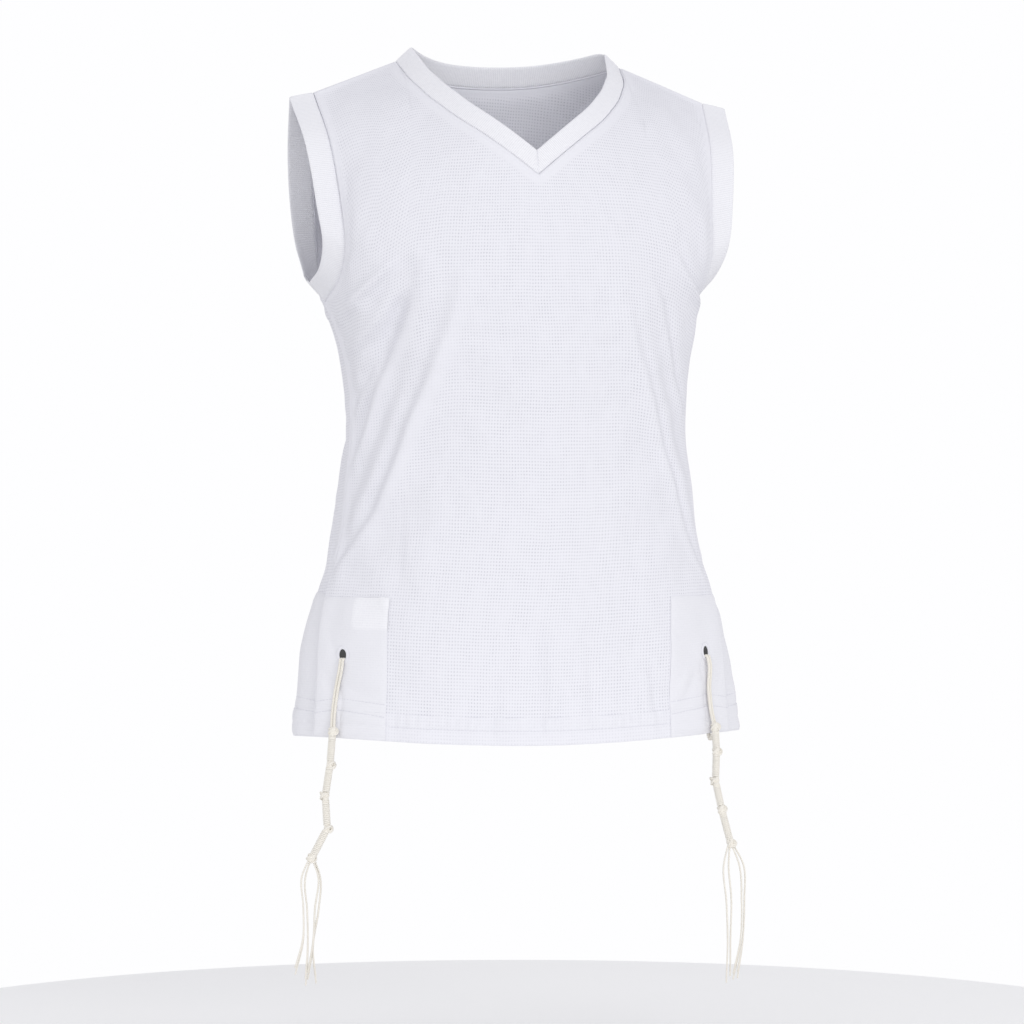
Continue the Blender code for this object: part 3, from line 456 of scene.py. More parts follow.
def yoke_point(yoke, across, rise):
    """Middle of the cloth above the armpit, as a curve that rises over the shoulder."""
    share = np.clip(np.abs(across) / NECK_SHARE, 0.0, 1.0)
    beyond = np.clip((np.abs(across) - NECK_SHARE) / (1 - NECK_SHARE), 0.0, 1.0)
    foot = 1 - share ** 2
    top_x = np.sign(across) * (NECK_POINT[0] * share + (SHOULDER_TIP[0] - NECK_POINT[0]) * beyond)
    top_y = yoke.base_y * foot + SHOULDER_TIP[1] * beyond
    top_z = yoke.base_z * foot + SHOULDER_TIP[2] * beyond
    top = np.stack([top_x - NECK_SKEW * foot, top_y, top_z], axis=-1)
    low = body_point(yoke.facing, across, np.full_like(across, ARMPIT_DROP))
    pitch = np.radians(yoke.neck_pitch + (yoke.shoulder_pitch - yoke.neck_pitch) * share ** 2)
    pull = yoke.neck_pull + (yoke.shoulder_pull - yoke.neck_pull) * share ** 2
    leave = np.array([0.0, yoke.start_lean, 1.0]) * yoke.start_pull
    arrive = np.stack([0 * pitch, -yoke.facing * np.cos(pitch) * pull, np.sin(pitch) * pull], axis=-1)
    t = rise[..., None]
    return ((1 + 2 * t) * (1 - t) ** 2 * low + t * (1 - t) ** 2 * leave
            + t ** 2 * (3 - 2 * t) * top - t ** 2 * (1 - t) * arrive)


def yoke_surface(yoke, across, rise):
    """yoke_point, pulled at its sides onto the armhole seam."""
    place = yoke_point(yoke, across, rise)
    table = FRONT_ARM if yoke.facing < 0 else BACK_ARM
    for hand in (-1, 1):
        wanted, _ = arm_seam(table, hand, rise)
        found = yoke_point(yoke, np.full_like(across, hand), rise)
        weight = np.clip(across * hand, 0.0, 1.0) ** 3
        place = place + weight[..., None] * (wanted - found)
    return place


def neck_rise(yoke, across):
    """How far up its column each part of the panel is cut: 1 at the shoulder, less at the neck."""
    table = FRONT_NECK if yoke.facing < 0 else BACK_NECK
    tries = np.linspace(NECK_SEARCH_START, 1.0, NECK_SEARCH_STEPS)
    rises = np.ones_like(across)
    for index, share in enumerate(across):
        if abs(share) >= NECK_SHARE - TINY:
            continue
        place = yoke_surface(yoke, np.full_like(tries, share), tries)
        skew = NECK_SKEW * (1 - (share / NECK_SHARE) ** 2)
        wanted = smooth(column(table, "out"), column(table, "drop"), np.abs(place[:, 0] + skew))
        below = -place[:, 2] - wanted
        first = np.nonzero(below <= 0)[0]
        if len(first):
            low = first[0] - 1
            part = below[low] / (below[low] - below[low + 1])
            rises[index] = tries[low] + part * (tries[low + 1] - tries[low])
    return rises


def fold_height(folds, across, drop):
    """Height of all folds together, at each place of a panel."""
    x = across * PANEL_REACH
    total = np.zeros_like(x)
    for fold in folds:
        start = np.array([fold.across_a * PANEL_REACH, fold.drop_a])
        run = np.array([fold.across_b * PANEL_REACH, fold.drop_b]) - start
        length = np.linalg.norm(run)
        ahead = ((x - start[0]) * run[0] + (drop - start[1]) * run[1]) / length
        aside = ((x - start[0]) * run[1] - (drop - start[1]) * run[0]) / length
        share = np.clip(ahead / length, 0.0, 1.0)
        total += fold.height * hump(aside, fold.width) * np.sin(math.pi * share) ** FOLD_BLUNTNESS
    return total


def crease_height(creases, across, drop):
    """Height of all finer creases together, at each place of a panel."""
    total = np.zeros_like(across)
    for crease in creases:
        shares, drops = np.array(crease.path).T
        middle = smooth(drops, shares, drop) * PANEL_REACH
        slant = smooth(drops, shares, drop + 1) * PANEL_REACH - middle
        aside = (across * PANEL_REACH - middle) * crease.side / np.hypot(1, slant)
        part = np.clip((drop - drops[0]) / (drops[-1] - drops[0]), 0.0, 1.0)
        ridge = hump(aside, np.where(aside > 0, crease.steep, crease.gentle))
        trough = hump(aside / crease.steep - TROUGH_PLACE, TROUGH_WIDTH)
        swell = np.sin(math.pi * part) ** CREASE_BLUNTNESS
        total += crease.height * swell * (ridge - CREASE_TROUGH * trough)
    return total


def crumple(x, z, seed):
    """A gentle unevenness, as washed cloth has, in millimetres."""
    rng = np.random.default_rng(seed)
    total = np.zeros_like(x)
    for _ in range(CRUMPLE_WAVES):
        length = rng.uniform(*CRUMPLE_LENGTHS)
        turn, start = rng.uniform(0, 2 * math.pi, 2)
        along = x * math.cos(turn) + z * math.sin(turn)
        total += np.sin(along * 2 * math.pi / length + start) * length
    return total * CRUMPLE


def seam_distance(points, curve):
    """How far each point is from a seam, in millimetres."""
    nearest = np.full(points.shape[:-1], FAR)
    for start, end in zip(curve[:-1], curve[1:]):
        run = end - start
        share = np.clip((points - start) @ run / (run @ run + TINY), 0.0, 1.0)
        gap = np.linalg.norm(points - start - share[..., None] * run, axis=-1)
        nearest = np.minimum(nearest, gap)
    return nearest


def arc_lengths(points, axis):
    """Length along a path, or the rows or columns of a grid, from its first point."""
    steps = np.linalg.norm(np.diff(points, axis=axis), axis=-1)
    start = np.zeros_like(np.take(steps, [0], axis=axis))
    return np.concatenate([start, np.cumsum(steps, axis=axis)], axis=axis)


def panel_columns():
    """Shares of the half panel at which the columns stand, closer together beside the edges."""
    near = 1 - np.array(EDGE_STEPS) / PANEL_REACH
    reach = (near[-1] - NECK_SHARE) * PANEL_REACH
    outer = np.linspace(near[-1], NECK_SHARE, round(reach / COLUMN_SPACING))
    inner = np.linspace(NECK_SHARE, 0, round(NECK_SHARE * PANEL_REACH / COLUMN_SPACING))
    half = np.concatenate([near[:-1], outer[:-1], inner])
    return np.concatenate([-half, half[-2::-1]])


def body_rows():
    """Drops of the rows from the hem up to the armpit."""
    near = HEM_DROP - np.array(HEM_STEPS)
    count = round((near[-1] - ARMPIT_DROP) / ROW_SPACING)
    return np.concatenate([near[:-1], np.linspace(near[-1], ARMPIT_DROP, count, endpoint=False)])


class Panel:
    """A panel's grid: the middle of its cloth, outward normals, and how far its face stands out."""

    def __init__(self, yoke, folds, creases, eyelet_share, seed):
        self.yoke = yoke
        self.eyelet_share = eyelet_share
        self.columns = panel_columns()
        drops = body_rows()
        across, drop = np.meshgrid(self.columns, drops)
        edge = SEAM_GAP / 2 / YOKE_LENGTH
        tops = np.minimum(neck_rise(yoke, self.columns), 1 - edge)
        even = np.linspace(0, 1 - TOP_STEPS[0], YOKE_ROWS, endpoint=False)
        self.rises = np.concatenate([even, 1 - np.array(TOP_STEPS)])
        rises = self.rises[:, None] * tops[None, :]
        yoke_across = np.broadcast_to(self.columns, rises.shape)
        body = body_point(yoke.facing, across, drop)
        self.grid = np.concatenate([body, yoke_surface(yoke, yoke_across, rises)])
        self.across = np.concatenate([across, yoke_across])
        self.first_yoke_row = len(drops)
        calm = 1 - ramp(rises, CALM_START * tops, tops - CALM_MARGIN)
        calm = np.concatenate([np.ones_like(drop), calm])
        normals = self.find_normals()
        self.grid = self.grid + normals * self.relief(folds, creases, seed, calm)[..., None]
        self.normals = self.find_normals()
        self.find_zones()

    def relief(self, folds, creases, seed, calm):
        """How far folds, creases and unevenness move the cloth out."""
        side, drop = np.abs(self.across), -self.grid[..., 2]
        inside = 1 - ramp(side, FOLD_FADE_START, FOLD_FADE_END)
        creased = crease_height(creases, self.across, drop)
        creased *= 1 - ramp(side, CREASE_FADE_START, CREASE_FADE_END)
        self.crests = CREST_FAINT * ramp(creased, CREST_START, CREST_END)
        uneven = crumple(self.across * PANEL_REACH, -drop, seed) * calm
        folded = fold_height(folds, self.across, drop)
        return (folded + uneven) * inside + creased + self.slit_lift()

    def slit_lift(self):
        """Front corners swing out and back corners tuck in beside the slits."""
        reach = FRONT_FLARE if self.yoke.facing < 0 else -BACK_TUCK
        down = ramp(-self.grid[..., 2], SLIT_TOP_DROP, SLIT_TOP_DROP + SLIT_OPENING)
        return reach * down * ramp(np.abs(self.across), 1 - SLIT_EDGE_SHARE, 1.0)

    def find_normals(self):
        along = np.gradient(self.grid, axis=1)
        up = np.gradient(self.grid, axis=0)
        normals = unit(np.cross(along, up)) * -self.yoke.facing
        shoulder = np.abs(self.columns) >= NECK_SHARE - TINY
        normals[-1, shoulder, 1] = 0.0
        return unit(normals)

    def find_allowances(self):
        """Where seam allowances back the cloth, and how far each point is from a seam."""
        grid, first = self.grid, self.first_yoke_row
        slit_top = np.nonzero(-grid[:first, 0, 2] <= SLIT_TOP_DROP)[0][0]
        curves = [(grid[-1, np.abs(self.columns) <= NECK_SHARE + TINY], NECK_ALLOWANCE),
                  (grid[-1, self.columns <= -NECK_SHARE], SHOULDER_ALLOWANCE),
                  (grid[-1, self.columns >= NECK_SHARE], SHOULDER_ALLOWANCE)]
        for edge in (0, -1):
            curves += [(grid[first:, edge], ARM_ALLOWANCE),
                       (grid[slit_top:first + 1, edge], SIDE_ALLOWANCE)]
        backed = np.zeros(grid.shape[:2])
        seam = np.full(grid.shape[:2], FAR)
        for curve, allowance in curves:
            gap = seam_distance(grid, curve)
            backed = np.maximum(backed, 1 - ramp(gap, allowance + STEP_START, allowance + STEP_END))
            seam = np.minimum(seam, gap)
        return backed, seam

    def find_zones(self):
        """How far the face stands out, where the holes are fainter, and the cloth's coordinates."""
        backed, seam = self.find_allowances()
        side, drop, length = np.abs(self.across), -self.grid[..., 2], arc_lengths(self.grid, 1)
        level = drop - HEM_SAG * np.cos(self.across * math.pi / 2) ** 2
        hem = ramp(level, HEM_FOLD_DROP - HEM_FOLD_BLUR, HEM_FOLD_DROP + HEM_FOLD_BLUR)
        free = 1 - ramp(side, PATCH_SHARE - FREE_FADE, PATCH_SHARE)
        turn = length * 2 * math.pi
        pucker = np.sin(turn / PUCKER_LENGTH + PUCKER_SWAY * np.sin(length / PUCKER_SWAY_LENGTH))
        pucker *= PUCKER * hump(level - HEM_STITCH_DROP + PUCKER_RISE, PUCKER_WIDTH)
        wavy = HEM_WAVE * hem * np.sin(turn / HEM_WAVE_LENGTH + np.sin(length / HEM_SWAY_LENGTH))
        bottom = np.clip(1 - (HEM_DROP - level) / HEM_ROUNDING_HEIGHT, 0.0, 1.0)
        self.outer = (KNIT / 2 + HEM_RISE * hem + ALLOWANCE_RISE * backed + (pucker + wavy) * free
                      + SEAM_ROLL * hump(seam - ROLL_PLACE, ROLL_WIDTH)
                      - SEAM_DIVE * hump(seam, DIVE_WIDTH)
                      - HEM_STITCH_DIP * hump(level - HEM_STITCH_DROP, HEM_STITCH_WIDTH)
                      - HEM_ROUNDING * bottom ** 2)
        at_sides = SIDE_FAINT * ramp(side, SIDE_FAINT_START, SIDE_FAINT_END)
        self.backed = np.maximum.reduce([backed, at_sides, self.crests, HEM_FAINT * hem])
        dip = ROW_DIP * ramp(side, ROW_DIP_START, 1.0) * hump(drop - ROW_DIP_DROP, ROW_DIP_REACH)
        sideways = length - length[:, [length.shape[1] // 2]]
        sideways -= SIDE_STRETCH * np.maximum(sideways - STRETCH_START, 0)
        self.uv = np.stack([sideways, arc_lengths(self.grid, 0) + dip], axis=-1)

    def face(self, lift=0.0):
        """Points of the panel's outer face, moved out by a lift."""
        return self.grid + self.normals * (self.outer + lift)[..., None]

    def place(self, share, drop):
        """Point on the panel's middle at a share and drop, with its normal."""
        rows = -self.grid[:self.first_yoke_row, :, 2]
        found = []
        for values in (self.grid, self.normals):
            down = [[np.interp(-drop, -rows[:, k], values[:self.first_yoke_row, k, axis])
                     for k in range(len(self.columns))] for axis in range(3)]
            found.append(np.array([np.interp(share, self.columns, line) for line in down]))
        return found[0], unit(found[1])


def new_sheet(name, points, uv, material):
    """A grid primitive with its vertices placed, in millimetres, and its own coordinates."""
    rows, columns = points.shape[:2]
    bpy.ops.object.select_all(action="DESELECT")
    bpy.ops.mesh.primitive_grid_add(x_subdivisions=columns - 1, y_subdivisions=rows - 1)
    sheet = bpy.context.object
    sheet.name = sheet.data.name = name
    sheet.data.vertices.foreach_set("co", (points * MM).ravel())
    corners = np.zeros(len(sheet.data.loops), int)
    sheet.data.loops.foreach_get("vertex_index", corners)
    sheet.data.uv_layers.active.data.foreach_set("uv", (uv.reshape(-1, 2) * MM)[corners].ravel())
    sheet.data.materials.append(material)
    sheet.data.update()
    return sheet


def apply_modifier(obj, kind, **settings):
    modifier = obj.modifiers.new(kind.title(), kind)
    for name, value in settings.items():
        setattr(modifier, name, value)
    bpy.context.view_layer.objects.active = obj
    bpy.ops.object.modifier_apply(modifier=modifier.name)


def shade(obj, angle=40):
    bpy.ops.object.select_all(action="DESELECT")
    obj.select_set(True)
    bpy.context.view_layer.objects.active = obj
    bpy.ops.object.shade_smooth_by_angle(angle=math.radians(angle))


# The eyelets pierce the patches and the panels alike
FRONT_EYELET_SHARE = 0.815
BACK_EYELET_SHARE = 0.715
EYELET_DROP = 442.0
HOLE_HALF_WIDTH = 3.1
HOLE_HALF_HEIGHT = 4.4
HOLE_CORE = 0.2
PATCH = 1.0


def eyelet_frame(panel, hand):
    """Where an eyelet sits: its middle on the patch, and its sideways, upward and outward ways."""
    point, out = panel.place(panel.eyelet_share * hand, EYELET_DROP)
    point = point + out * (KNIT / 2 + SEAM_GAP + PATCH)
    sideways = unit(np.cross(UP, out))
    return point, sideways, np.cross(out, sideways), out


def open_hole(points, frame_of_eyelet):
    """Moves grid points round an eyelet onto its oval. Gives the points and the faces to take out."""
    middle, sideways, upward, _ = frame_of_eyelet
    aside = (points - middle) @ sideways
    above = (points - middle) @ upward
    centre_aside = (aside[:-1, :-1] + aside[1:, 1:]) / 2
    centre_above = (above[:-1, :-1] + above[1:, 1:]) / 2
    size = np.hypot(centre_aside / HOLE_HALF_WIDTH, centre_above / HOLE_HALF_HEIGHT)
    gone = size < 1.0
    beside_gone = np.zeros(aside.shape, bool)
    for row, col in np.argwhere(gone):
        beside_gone[row:row + 2, col:col + 2] = True
    reach = np.hypot(aside / HOLE_HALF_WIDTH, above / HOLE_HALF_HEIGHT)
    scale = np.where(beside_gone, 1 / np.maximum(reach, HOLE_CORE) - 1, 0.0)
    moved = points + (aside * scale)[..., None] * sideways + (above * scale)[..., None] * upward
    return moved, np.nonzero(gone.ravel())[0]


def take_out_faces(obj, faces):
    """Deletes faces by number."""
    bpy.context.view_layer.objects.active = obj
    bpy.ops.object.mode_set(mode="EDIT")
    bpy.ops.mesh.select_mode(type="FACE")
    bpy.ops.mesh.select_all(action="DESELECT")
    bpy.ops.object.mode_set(mode="OBJECT")
    chosen = np.zeros(len(obj.data.polygons), bool)
    chosen[faces] = True
    obj.data.polygons.foreach_set("select", chosen)
    bpy.ops.object.mode_set(mode="EDIT")
    bpy.ops.mesh.delete(type="FACE")
    bpy.ops.object.mode_set(mode="OBJECT")


def cut_cloth(name, panel, part, lift, hands, shares, cloth):
    """A sheet over part of a panel, with its holes and thickened inwards.

    shares is a name and the numbers it stores at each point for the material, and cloth is a
    material and a thickness.
    """
    points, gone = panel.face(lift)[part], []
    for hand in hands:
        points, faces = open_hole(points, eyelet_frame(panel, hand))
        gone.append(faces)
    gone = np.concatenate(gone)
    uv, stored_shares = panel.uv[part], shares[1][part]
    if panel.yoke.facing > 0:
        width = points.shape[1] - 1
        points, uv, stored_shares = points[:, ::-1], uv[:, ::-1], stored_shares[:, ::-1]
        gone = gone // width * width + width - 1 - gone % width
    sheet = new_sheet(name, points, uv, cloth[0])
    attribute = sheet.data.attributes.new(shares[0], "FLOAT", "POINT")
    attribute.data.foreach_set("value", stored_shares.astype(np.float32).ravel())
    take_out_faces(sheet, gone)
    apply_modifier(sheet, "SOLIDIFY", thickness=cloth[1] * MM, offset=-1)
    shade(sheet)
    return sheet


def make_panel(name, panel, node):
    """One panel's cloth, with its two eyelet holes."""
    sheet = cut_cloth(name, panel, np.s_[:, :], 0.0, (-1, 1), ("backed", panel.backed),
                      (mesh_knit, KNIT))
    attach(sheet, "root")
    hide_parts(node)


mesh_knit = mesh_knit_material()
front = Panel(FRONT_YOKE, FRONT_FOLDS + FRONT_CORNER_FOLDS, FRONT_CREASES, FRONT_EYELET_SHARE, seed=3)
make_panel("front_cloth", front, "front_panel")


# ------------------------------------------------------------------------------------------
# Back panel. The same mesh knit in one cut, higher at the neck, with folds of its own.
# ------------------------------------------------------------------------------------------
BACK_FOLDS = (
    Fold(-0.22, 150, -0.96, 385, 14, 3.8),
    Fold(-0.38, 155, -0.98, 320, 12, -3.0),
    Fold(0.24, 155, 0.98, 368, 14, 3.4),
    Fold(0.42, 160, 0.98, 300, 12, -2.8),
    Fold(0.60, 130, 0.99, 240, 12, 2.4),
    Fold(-0.05, 250, 0.04, 440, 17, -2.6),
    Fold(0.20, 350, 0.24, 510, 15, 2.2),
    Fold(-0.28, 365, -0.32, 510, 16, 2.2),
)
BACK_CREASES = (
    Crease(-1, 2.8, 9, 2.0, ((-0.24, 165), (-0.40, 225), (-0.60, 290), (-0.97, 385))),
    Crease(-1, 2.8, 7, 1.8, ((-0.42, 160), (-0.62, 222), (-0.97, 300))),
    Crease(1, 2.6, 5, 1.4, ((-0.60, 160), (-0.74, 182), (-0.95, 197))),
    Crease(1, 2.8, 9, 1.9, ((0.26, 168), (0.44, 235), (0.66, 305), (0.97, 372))),
    Crease(1, 2.8, 7, 1.7, ((0.44, 165), (0.66, 230), (0.97, 296))),
    Crease(-1, 2.6, 5, 1.3, ((0.62, 158), (0.76, 180), (0.95, 195))),
    Crease(1, 2.8, 7, 1.1, ((0.08, 290), (0.10, 350), (0.14, 425))),
    Crease(-1, 2.6, 6, 0.9, ((-0.21, 425), (-0.22, 465), (-0.24, 503))),
    Crease(1, 2.6, 6, 0.9, ((0.37, 435), (0.39, 470), (0.42, 503))),
)
back = Panel(BACK_YOKE, BACK_FOLDS, BACK_CREASES, BACK_EYELET_SHARE, seed=8)
make_panel("back_cloth", back, "back_panel")


# ------------------------------------------------------------------------------------------
# Neck band. A strip of fine white rib, folded double, sewn round the neck and mitred at the V.
# ------------------------------------------------------------------------------------------
RIB = 1.7
RIB_COLOUR = "F0F0F4"
# Colour painted in the grooves between wales as shade
RIB_GROOVE_SHADE = "D8D8DE"
RIB_PITCH = 0.0015
RIB_SLANT = 0.3
RIB_WANDER = 0.0003
NECK_BAND_FRONT = 14.5
NECK_BAND_BACK = 16.5
NECK_BAND_LIFT = 0.35
NECK_CROWDING = 0.55
FRONT_STATIONS = 10
BACK_STATIONS = 7
FINE_STATIONS = 84
MITRE_DEPTH = 0.7
MITRE_WIDTH = 0.6
WELD = 0.02

# The section from the seam to the free edge: share of the width, and of the half thickness. It
# leaves the seam along the panel's normal, and soon takes the band's own.
BAND_SECTION = ((0.0, 0.1), (0.025, 0.5), (0.06, 0.82), (0.11, 1.0), (0.2, 1.0), (0.32, 1.02),
                (0.45, 1.05), (0.58, 1.05), (0.70, 1.03), (0.80, 1.0), (0.88, 0.97), (0.93, 0.86),
                (0.97, 0.6), (0.992, 0.28))
BAND_FOOT_POWER = 4
BAND_INNER_HALF = 0.2


def rib_material():
    """Fine rib: close wales across the band, with the slant of their stitches, and painted shade in
    the grooves between wales.
    """
    material, tree, shader = new_material("white fine rib", RIB_COLOUR, 0.85)
    along = uneven_uv(tree, RIB_WANDER)
    slant = calc(tree, "MULTIPLY", along.node.outputs["Y"], 2 / RIB_PITCH)
    folded = calc(tree, "PINGPONG", slant, 1.0)
    wales = wave(tree, calc(tree, "MULTIPLY_ADD", folded, RIB_PITCH * RIB_SLANT, along), RIB_PITCH)
    uneven = add(tree, "ShaderNodeTexNoise", {"Scale": 60.0, "Detail": 2.0})
    shown = calc(tree, "MULTIPLY", wales, uneven)
    # The grooves between wales are painted darker as shade, and also dent the bump
    set_surface(tree, shader, blend(tree, shown, RIB_COLOUR, RIB_GROOVE_SHADE), wales, 0.35, invert=True)
    return material


def close_sheet(sheet):
    """Joins the edges of a sheet that lie on one another."""
    bpy.context.view_layer.objects.active = sheet
    bpy.ops.object.mode_set(mode="EDIT")
    bpy.ops.mesh.select_all(action="SELECT")
    bpy.ops.mesh.remove_doubles(threshold=WELD * MM)
    bpy.ops.mesh.normals_make_consistent(inside=False)
    bpy.ops.object.mode_set(mode="OBJECT")


def make_band(name, node, seam, rim, foot_out, mitre):
    """A band from its seam to its free edge, both closed loops with the same number of points."""
    seam, rim, foot_out = (np.concatenate([loop, loop[:1]]) for loop in (seam, rim, foot_out))
    tangents = np.roll(seam[:-1], -1, axis=0) - np.roll(seam[:-1], 1, axis=0)
    tangents = unit(np.concatenate([tangents, tangents[:1]]))
    leads = rim - seam
    width = np.linalg.norm(leads, axis=1)
    leads = leads / width[:, None]
    own = unit(np.cross(leads, tangents))
    own *= np.sign(np.sum(own * foot_out, axis=1))[:, None]
    length = arc_lengths(seam, 0)
    upper, lower, upper_uv, lower_uv = [], [], [], []
    for share, height in BAND_SECTION:
        at_foot = (1 - share) ** BAND_FOOT_POWER
        out = unit(foot_out * at_foot + own * (1 - at_foot))
        half = RIB / 2 * height - mitre
        start = seam + leads * (SEAM_GAP + (width[:, None] - SEAM_GAP) * share)
        upper.append(start + out * half[:, None])
        lower.append(start - out * np.maximum(half, BAND_INNER_HALF)[:, None])
        along = length + np.sum((start - seam) * tangents, axis=1)
        upper_uv.append(np.stack([along, width * share], axis=-1))
        lower_uv.append(np.stack([along, -width * share], axis=-1))
    points = np.stack([*upper, rim, *lower[::-1], upper[0]], axis=1)
    tip_uv = np.stack([length + np.sum(leads * tangents, axis=1) * width, width], axis=-1)
    uv = np.stack([*upper_uv, tip_uv, *lower_uv[::-1], upper_uv[0]], axis=1)
    made = new_sheet(name, points, uv, rib_knit)
    close_sheet(made)
    shade(made, 60)
    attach(made, "root")
    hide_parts(node)


def top_edge(panel, shares):
    """The neck seam and its normals at shares of the half panel."""
    seam, out = (np.stack([np.interp(shares, panel.columns, values[-1, :, axis])
                           for axis in range(3)], axis=-1) for values in (panel.grid, panel.normals))
    return seam, unit(out)


def neck_shares(count):
    """Shares of the half panel from the right-hand shoulder to the left."""
    even = np.linspace(1, 0, count + 1)
    inner = NECK_SHARE * (even + NECK_CROWDING * (np.sin(math.pi / 2 * even) - even))
    return np.concatenate([-inner, inner[-2::-1]])


def neck_frame(front_shares, back_shares):
    """The band's free edge and its seam's normals, at stations round the neck."""
    front_seam, front_out = top_edge(front, front_shares)
    back_seam, back_out = top_edge(back, back_shares)
    seam = np.concatenate([front_seam, back_seam[1:-1]])
    out = np.concatenate([front_out, back_out[1:-1]])
    point, last = FRONT_STATIONS, len(front_seam)
    for shoulder in (0, last - 1):
        out[shoulder] = unit(out[shoulder - 1] + out[shoulder + 1])
    tangents = unit(np.roll(seam, -1, axis=0) - np.roll(seam, 1, axis=0))
    leads = unit(np.cross(out, tangents))
    leads *= np.sign(leads @ UP)[:, None]
    from_middle = (seam[:, 0] / NECK_POINT[0]) ** 2
    from_middle[last:] = 1.0
    leads = unit(leads + NECK_BAND_LIFT * from_middle[:, None] * UP)
    widths = NECK_BAND_FRONT + (NECK_BAND_BACK - NECK_BAND_FRONT) * from_middle
    limb = unit(seam[point + 1] - seam[point])
    widths[point] = NECK_BAND_FRONT / math.sqrt(1 - (limb @ leads[point]) ** 2)
    return seam + leads * widths[:, None], out


def neck_loops():
    """Fine loops of the neck seam, the band's free edge, the seam's normals and the mitre."""
    front_shares, back_shares = neck_shares(FRONT_STATIONS), neck_shares(BACK_STATIONS)[::-1]
    rim, out = neck_frame(front_shares, back_shares)
    even = (1 - np.cos(np.linspace(0, math.pi, FINE_STATIONS))) / 2
    point, last = FRONT_STATIONS, len(front_shares)
    limbs = ((front, front_shares[:point + 1], np.s_[:point + 1], -NECK_SHARE * (1 - even)),
             (front, front_shares[point:], np.s_[point:last], NECK_SHARE * even[1:]),
             (back, -back_shares, np.r_[last - 1:len(rim), 0], NECK_SHARE * (2 * even[1:-1] - 1)))
    fine_seam, fine_rim, fine_out = [], [], []
    for panel, keys, rows, shares in limbs:
        hand = 1 if panel is front else -1
        fine_seam.append(top_edge(panel, hand * shares)[0])
        fine_rim.append(smooth_points(keys, rim[rows], shares))
        fine_out.append(smooth_points(keys, out[rows], shares))
    seam = np.concatenate(fine_seam)
    from_point = np.linalg.norm(seam - seam[FINE_STATIONS - 1], axis=1)
    mitre = MITRE_DEPTH * hump(from_point, MITRE_WIDTH)
    mitre = np.append(mitre, mitre[0])
    return seam, np.concatenate(fine_rim), unit(np.concatenate(fine_out)), mitre


rib_knit = rib_material()
neck_seam, neck_rim, neck_out, neck_mitre = neck_loops()
make_band("neck_rib", "neck_band", neck_seam, neck_rim, neck_out, neck_mitre)


# ------------------------------------------------------------------------------------------
# Armhole bands. The same folded rib, sewn round each armhole and leaning in at the underarm.
# ------------------------------------------------------------------------------------------
ARM_BAND = 19.0
ARM_CENTRE = (-13.0, -105.0)


def armhole_rib(wearer_side, hand):
    """The rib round one armhole, up the front seam and down the back one."""
    front_seam, front_lean = arm_seam(FRONT_ARM, hand, front.rises)
    back_seam, back_lean = arm_seam(BACK_ARM, hand, back.rises)
    edge = 0 if hand < 0 else -1
    front_out = front.normals[front.first_yoke_row:, edge]
    back_out = back.normals[back.first_yoke_row:, edge]
    ends = unit(front_out[[0, -1]] + back_out[[0, -1]])
    out = np.concatenate([ends[:1], front_out[1:-1], ends[1:], back_out[-2:0:-1]])
    seam = np.concatenate([front_seam, back_seam[-2:0:-1]])
    lean = np.radians(np.concatenate([front_lean, back_lean[-2:0:-1]]))
    inward = np.zeros_like(seam)
    inward[:, 1:] = unit(np.array(ARM_CENTRE) - seam[:, 1:])
    leads = np.array([hand, 0.0, 0.0]) * np.cos(lean)[:, None] + inward * np.sin(lean)[:, None]
    make_band("armhole_rib_" + wearer_side, "armhole_band_" + wearer_side, seam,
              seam + leads * ARM_BAND, out, np.zeros(len(seam) + 1))


armhole_rib("right", -1)
armhole_rib("left", 1)


# ------------------------------------------------------------------------------------------
# Corner patches. A piece of plain white knit sewn over each corner of the hem, out to the edge
# of the slit, to hold the eyelet. The wearer's right front one is doubled at its inner top.
# ------------------------------------------------------------------------------------------
PATCH_CLOTH = 0.35
PATCH_EDGE = 3.0
PATCH_EDGE_LIFT = 0.15
PATCH_COLOUR = "E6E6EB"
# Colour painted between the courses and wales as shade
PATCH_GROOVE_SHADE = "E0E0E6"
PATCH_PITCH = (0.0019, 0.0018)
PATCH_WANDER = 0.0006
PATCH_WALES = 0.25
# Brighter colour of the doubled corner: partly its second layer hiding the mesh below, partly a
# painted highlight where light falls on it
DOUBLED_LIT_COLOUR = "EDEDF1"
DOUBLED_SHARES = (0.575, 0.768)
DOUBLED_DROPS = (399.0, 424.0)
DOUBLED_RISE = 0.45
DOUBLED_SQUARENESS = 6
DOUBLED_BLUR = 0.3
COLUMN_TOLERANCE = 0.004
ROW_TOLERANCE = 1.0

# Two rows of stitches cross each patch, as shares of the half panel and drops
PATCH_STITCH_ROWS = (
    ((0.59, 478.0), (0.72, 475.5), (0.84, 474.0), (0.992, 476.5)),
    ((0.59, 487.0), (0.72, 484.0), (0.84, 482.5), (0.992, 484.5)),
)
STITCH_GROOVE = 0.4
STITCH_GROOVE_WIDTH = 1.5


def plain_knit_material():
    """Plain knit: fine level courses and fainter wales, painted darker between the threads as shade.

    The brighter colour where doubled is partly the second layer hiding the mesh below and partly a
    painted highlight.
    """
    material, tree, shader = new_material("white plain knit", PATCH_COLOUR, 0.85)
    along = uneven_uv(tree, PATCH_WANDER)
    courses = wave(tree, along.node.outputs["Y"], PATCH_PITCH[1])
    wales = wave(tree, along, PATCH_PITCH[0])
    grid = calc(tree, "MULTIPLY_ADD", wales, PATCH_WALES, courses)
    shown = calc(tree, "MULTIPLY", grid, patchy(tree, 45.0, 0.05, 0.5), use_clamp=True)
    # The doubled corner is painted brighter, partly as a highlight
    cloth = blend(tree, stored(tree, "doubled"), PATCH_COLOUR, DOUBLED_LIT_COLOUR)
    # Grooves between courses and wales are painted darker as shade
    set_surface(tree, shader, blend(tree, shown, cloth, PATCH_GROOVE_SHADE), shown, 0.3, invert=True)
    return material


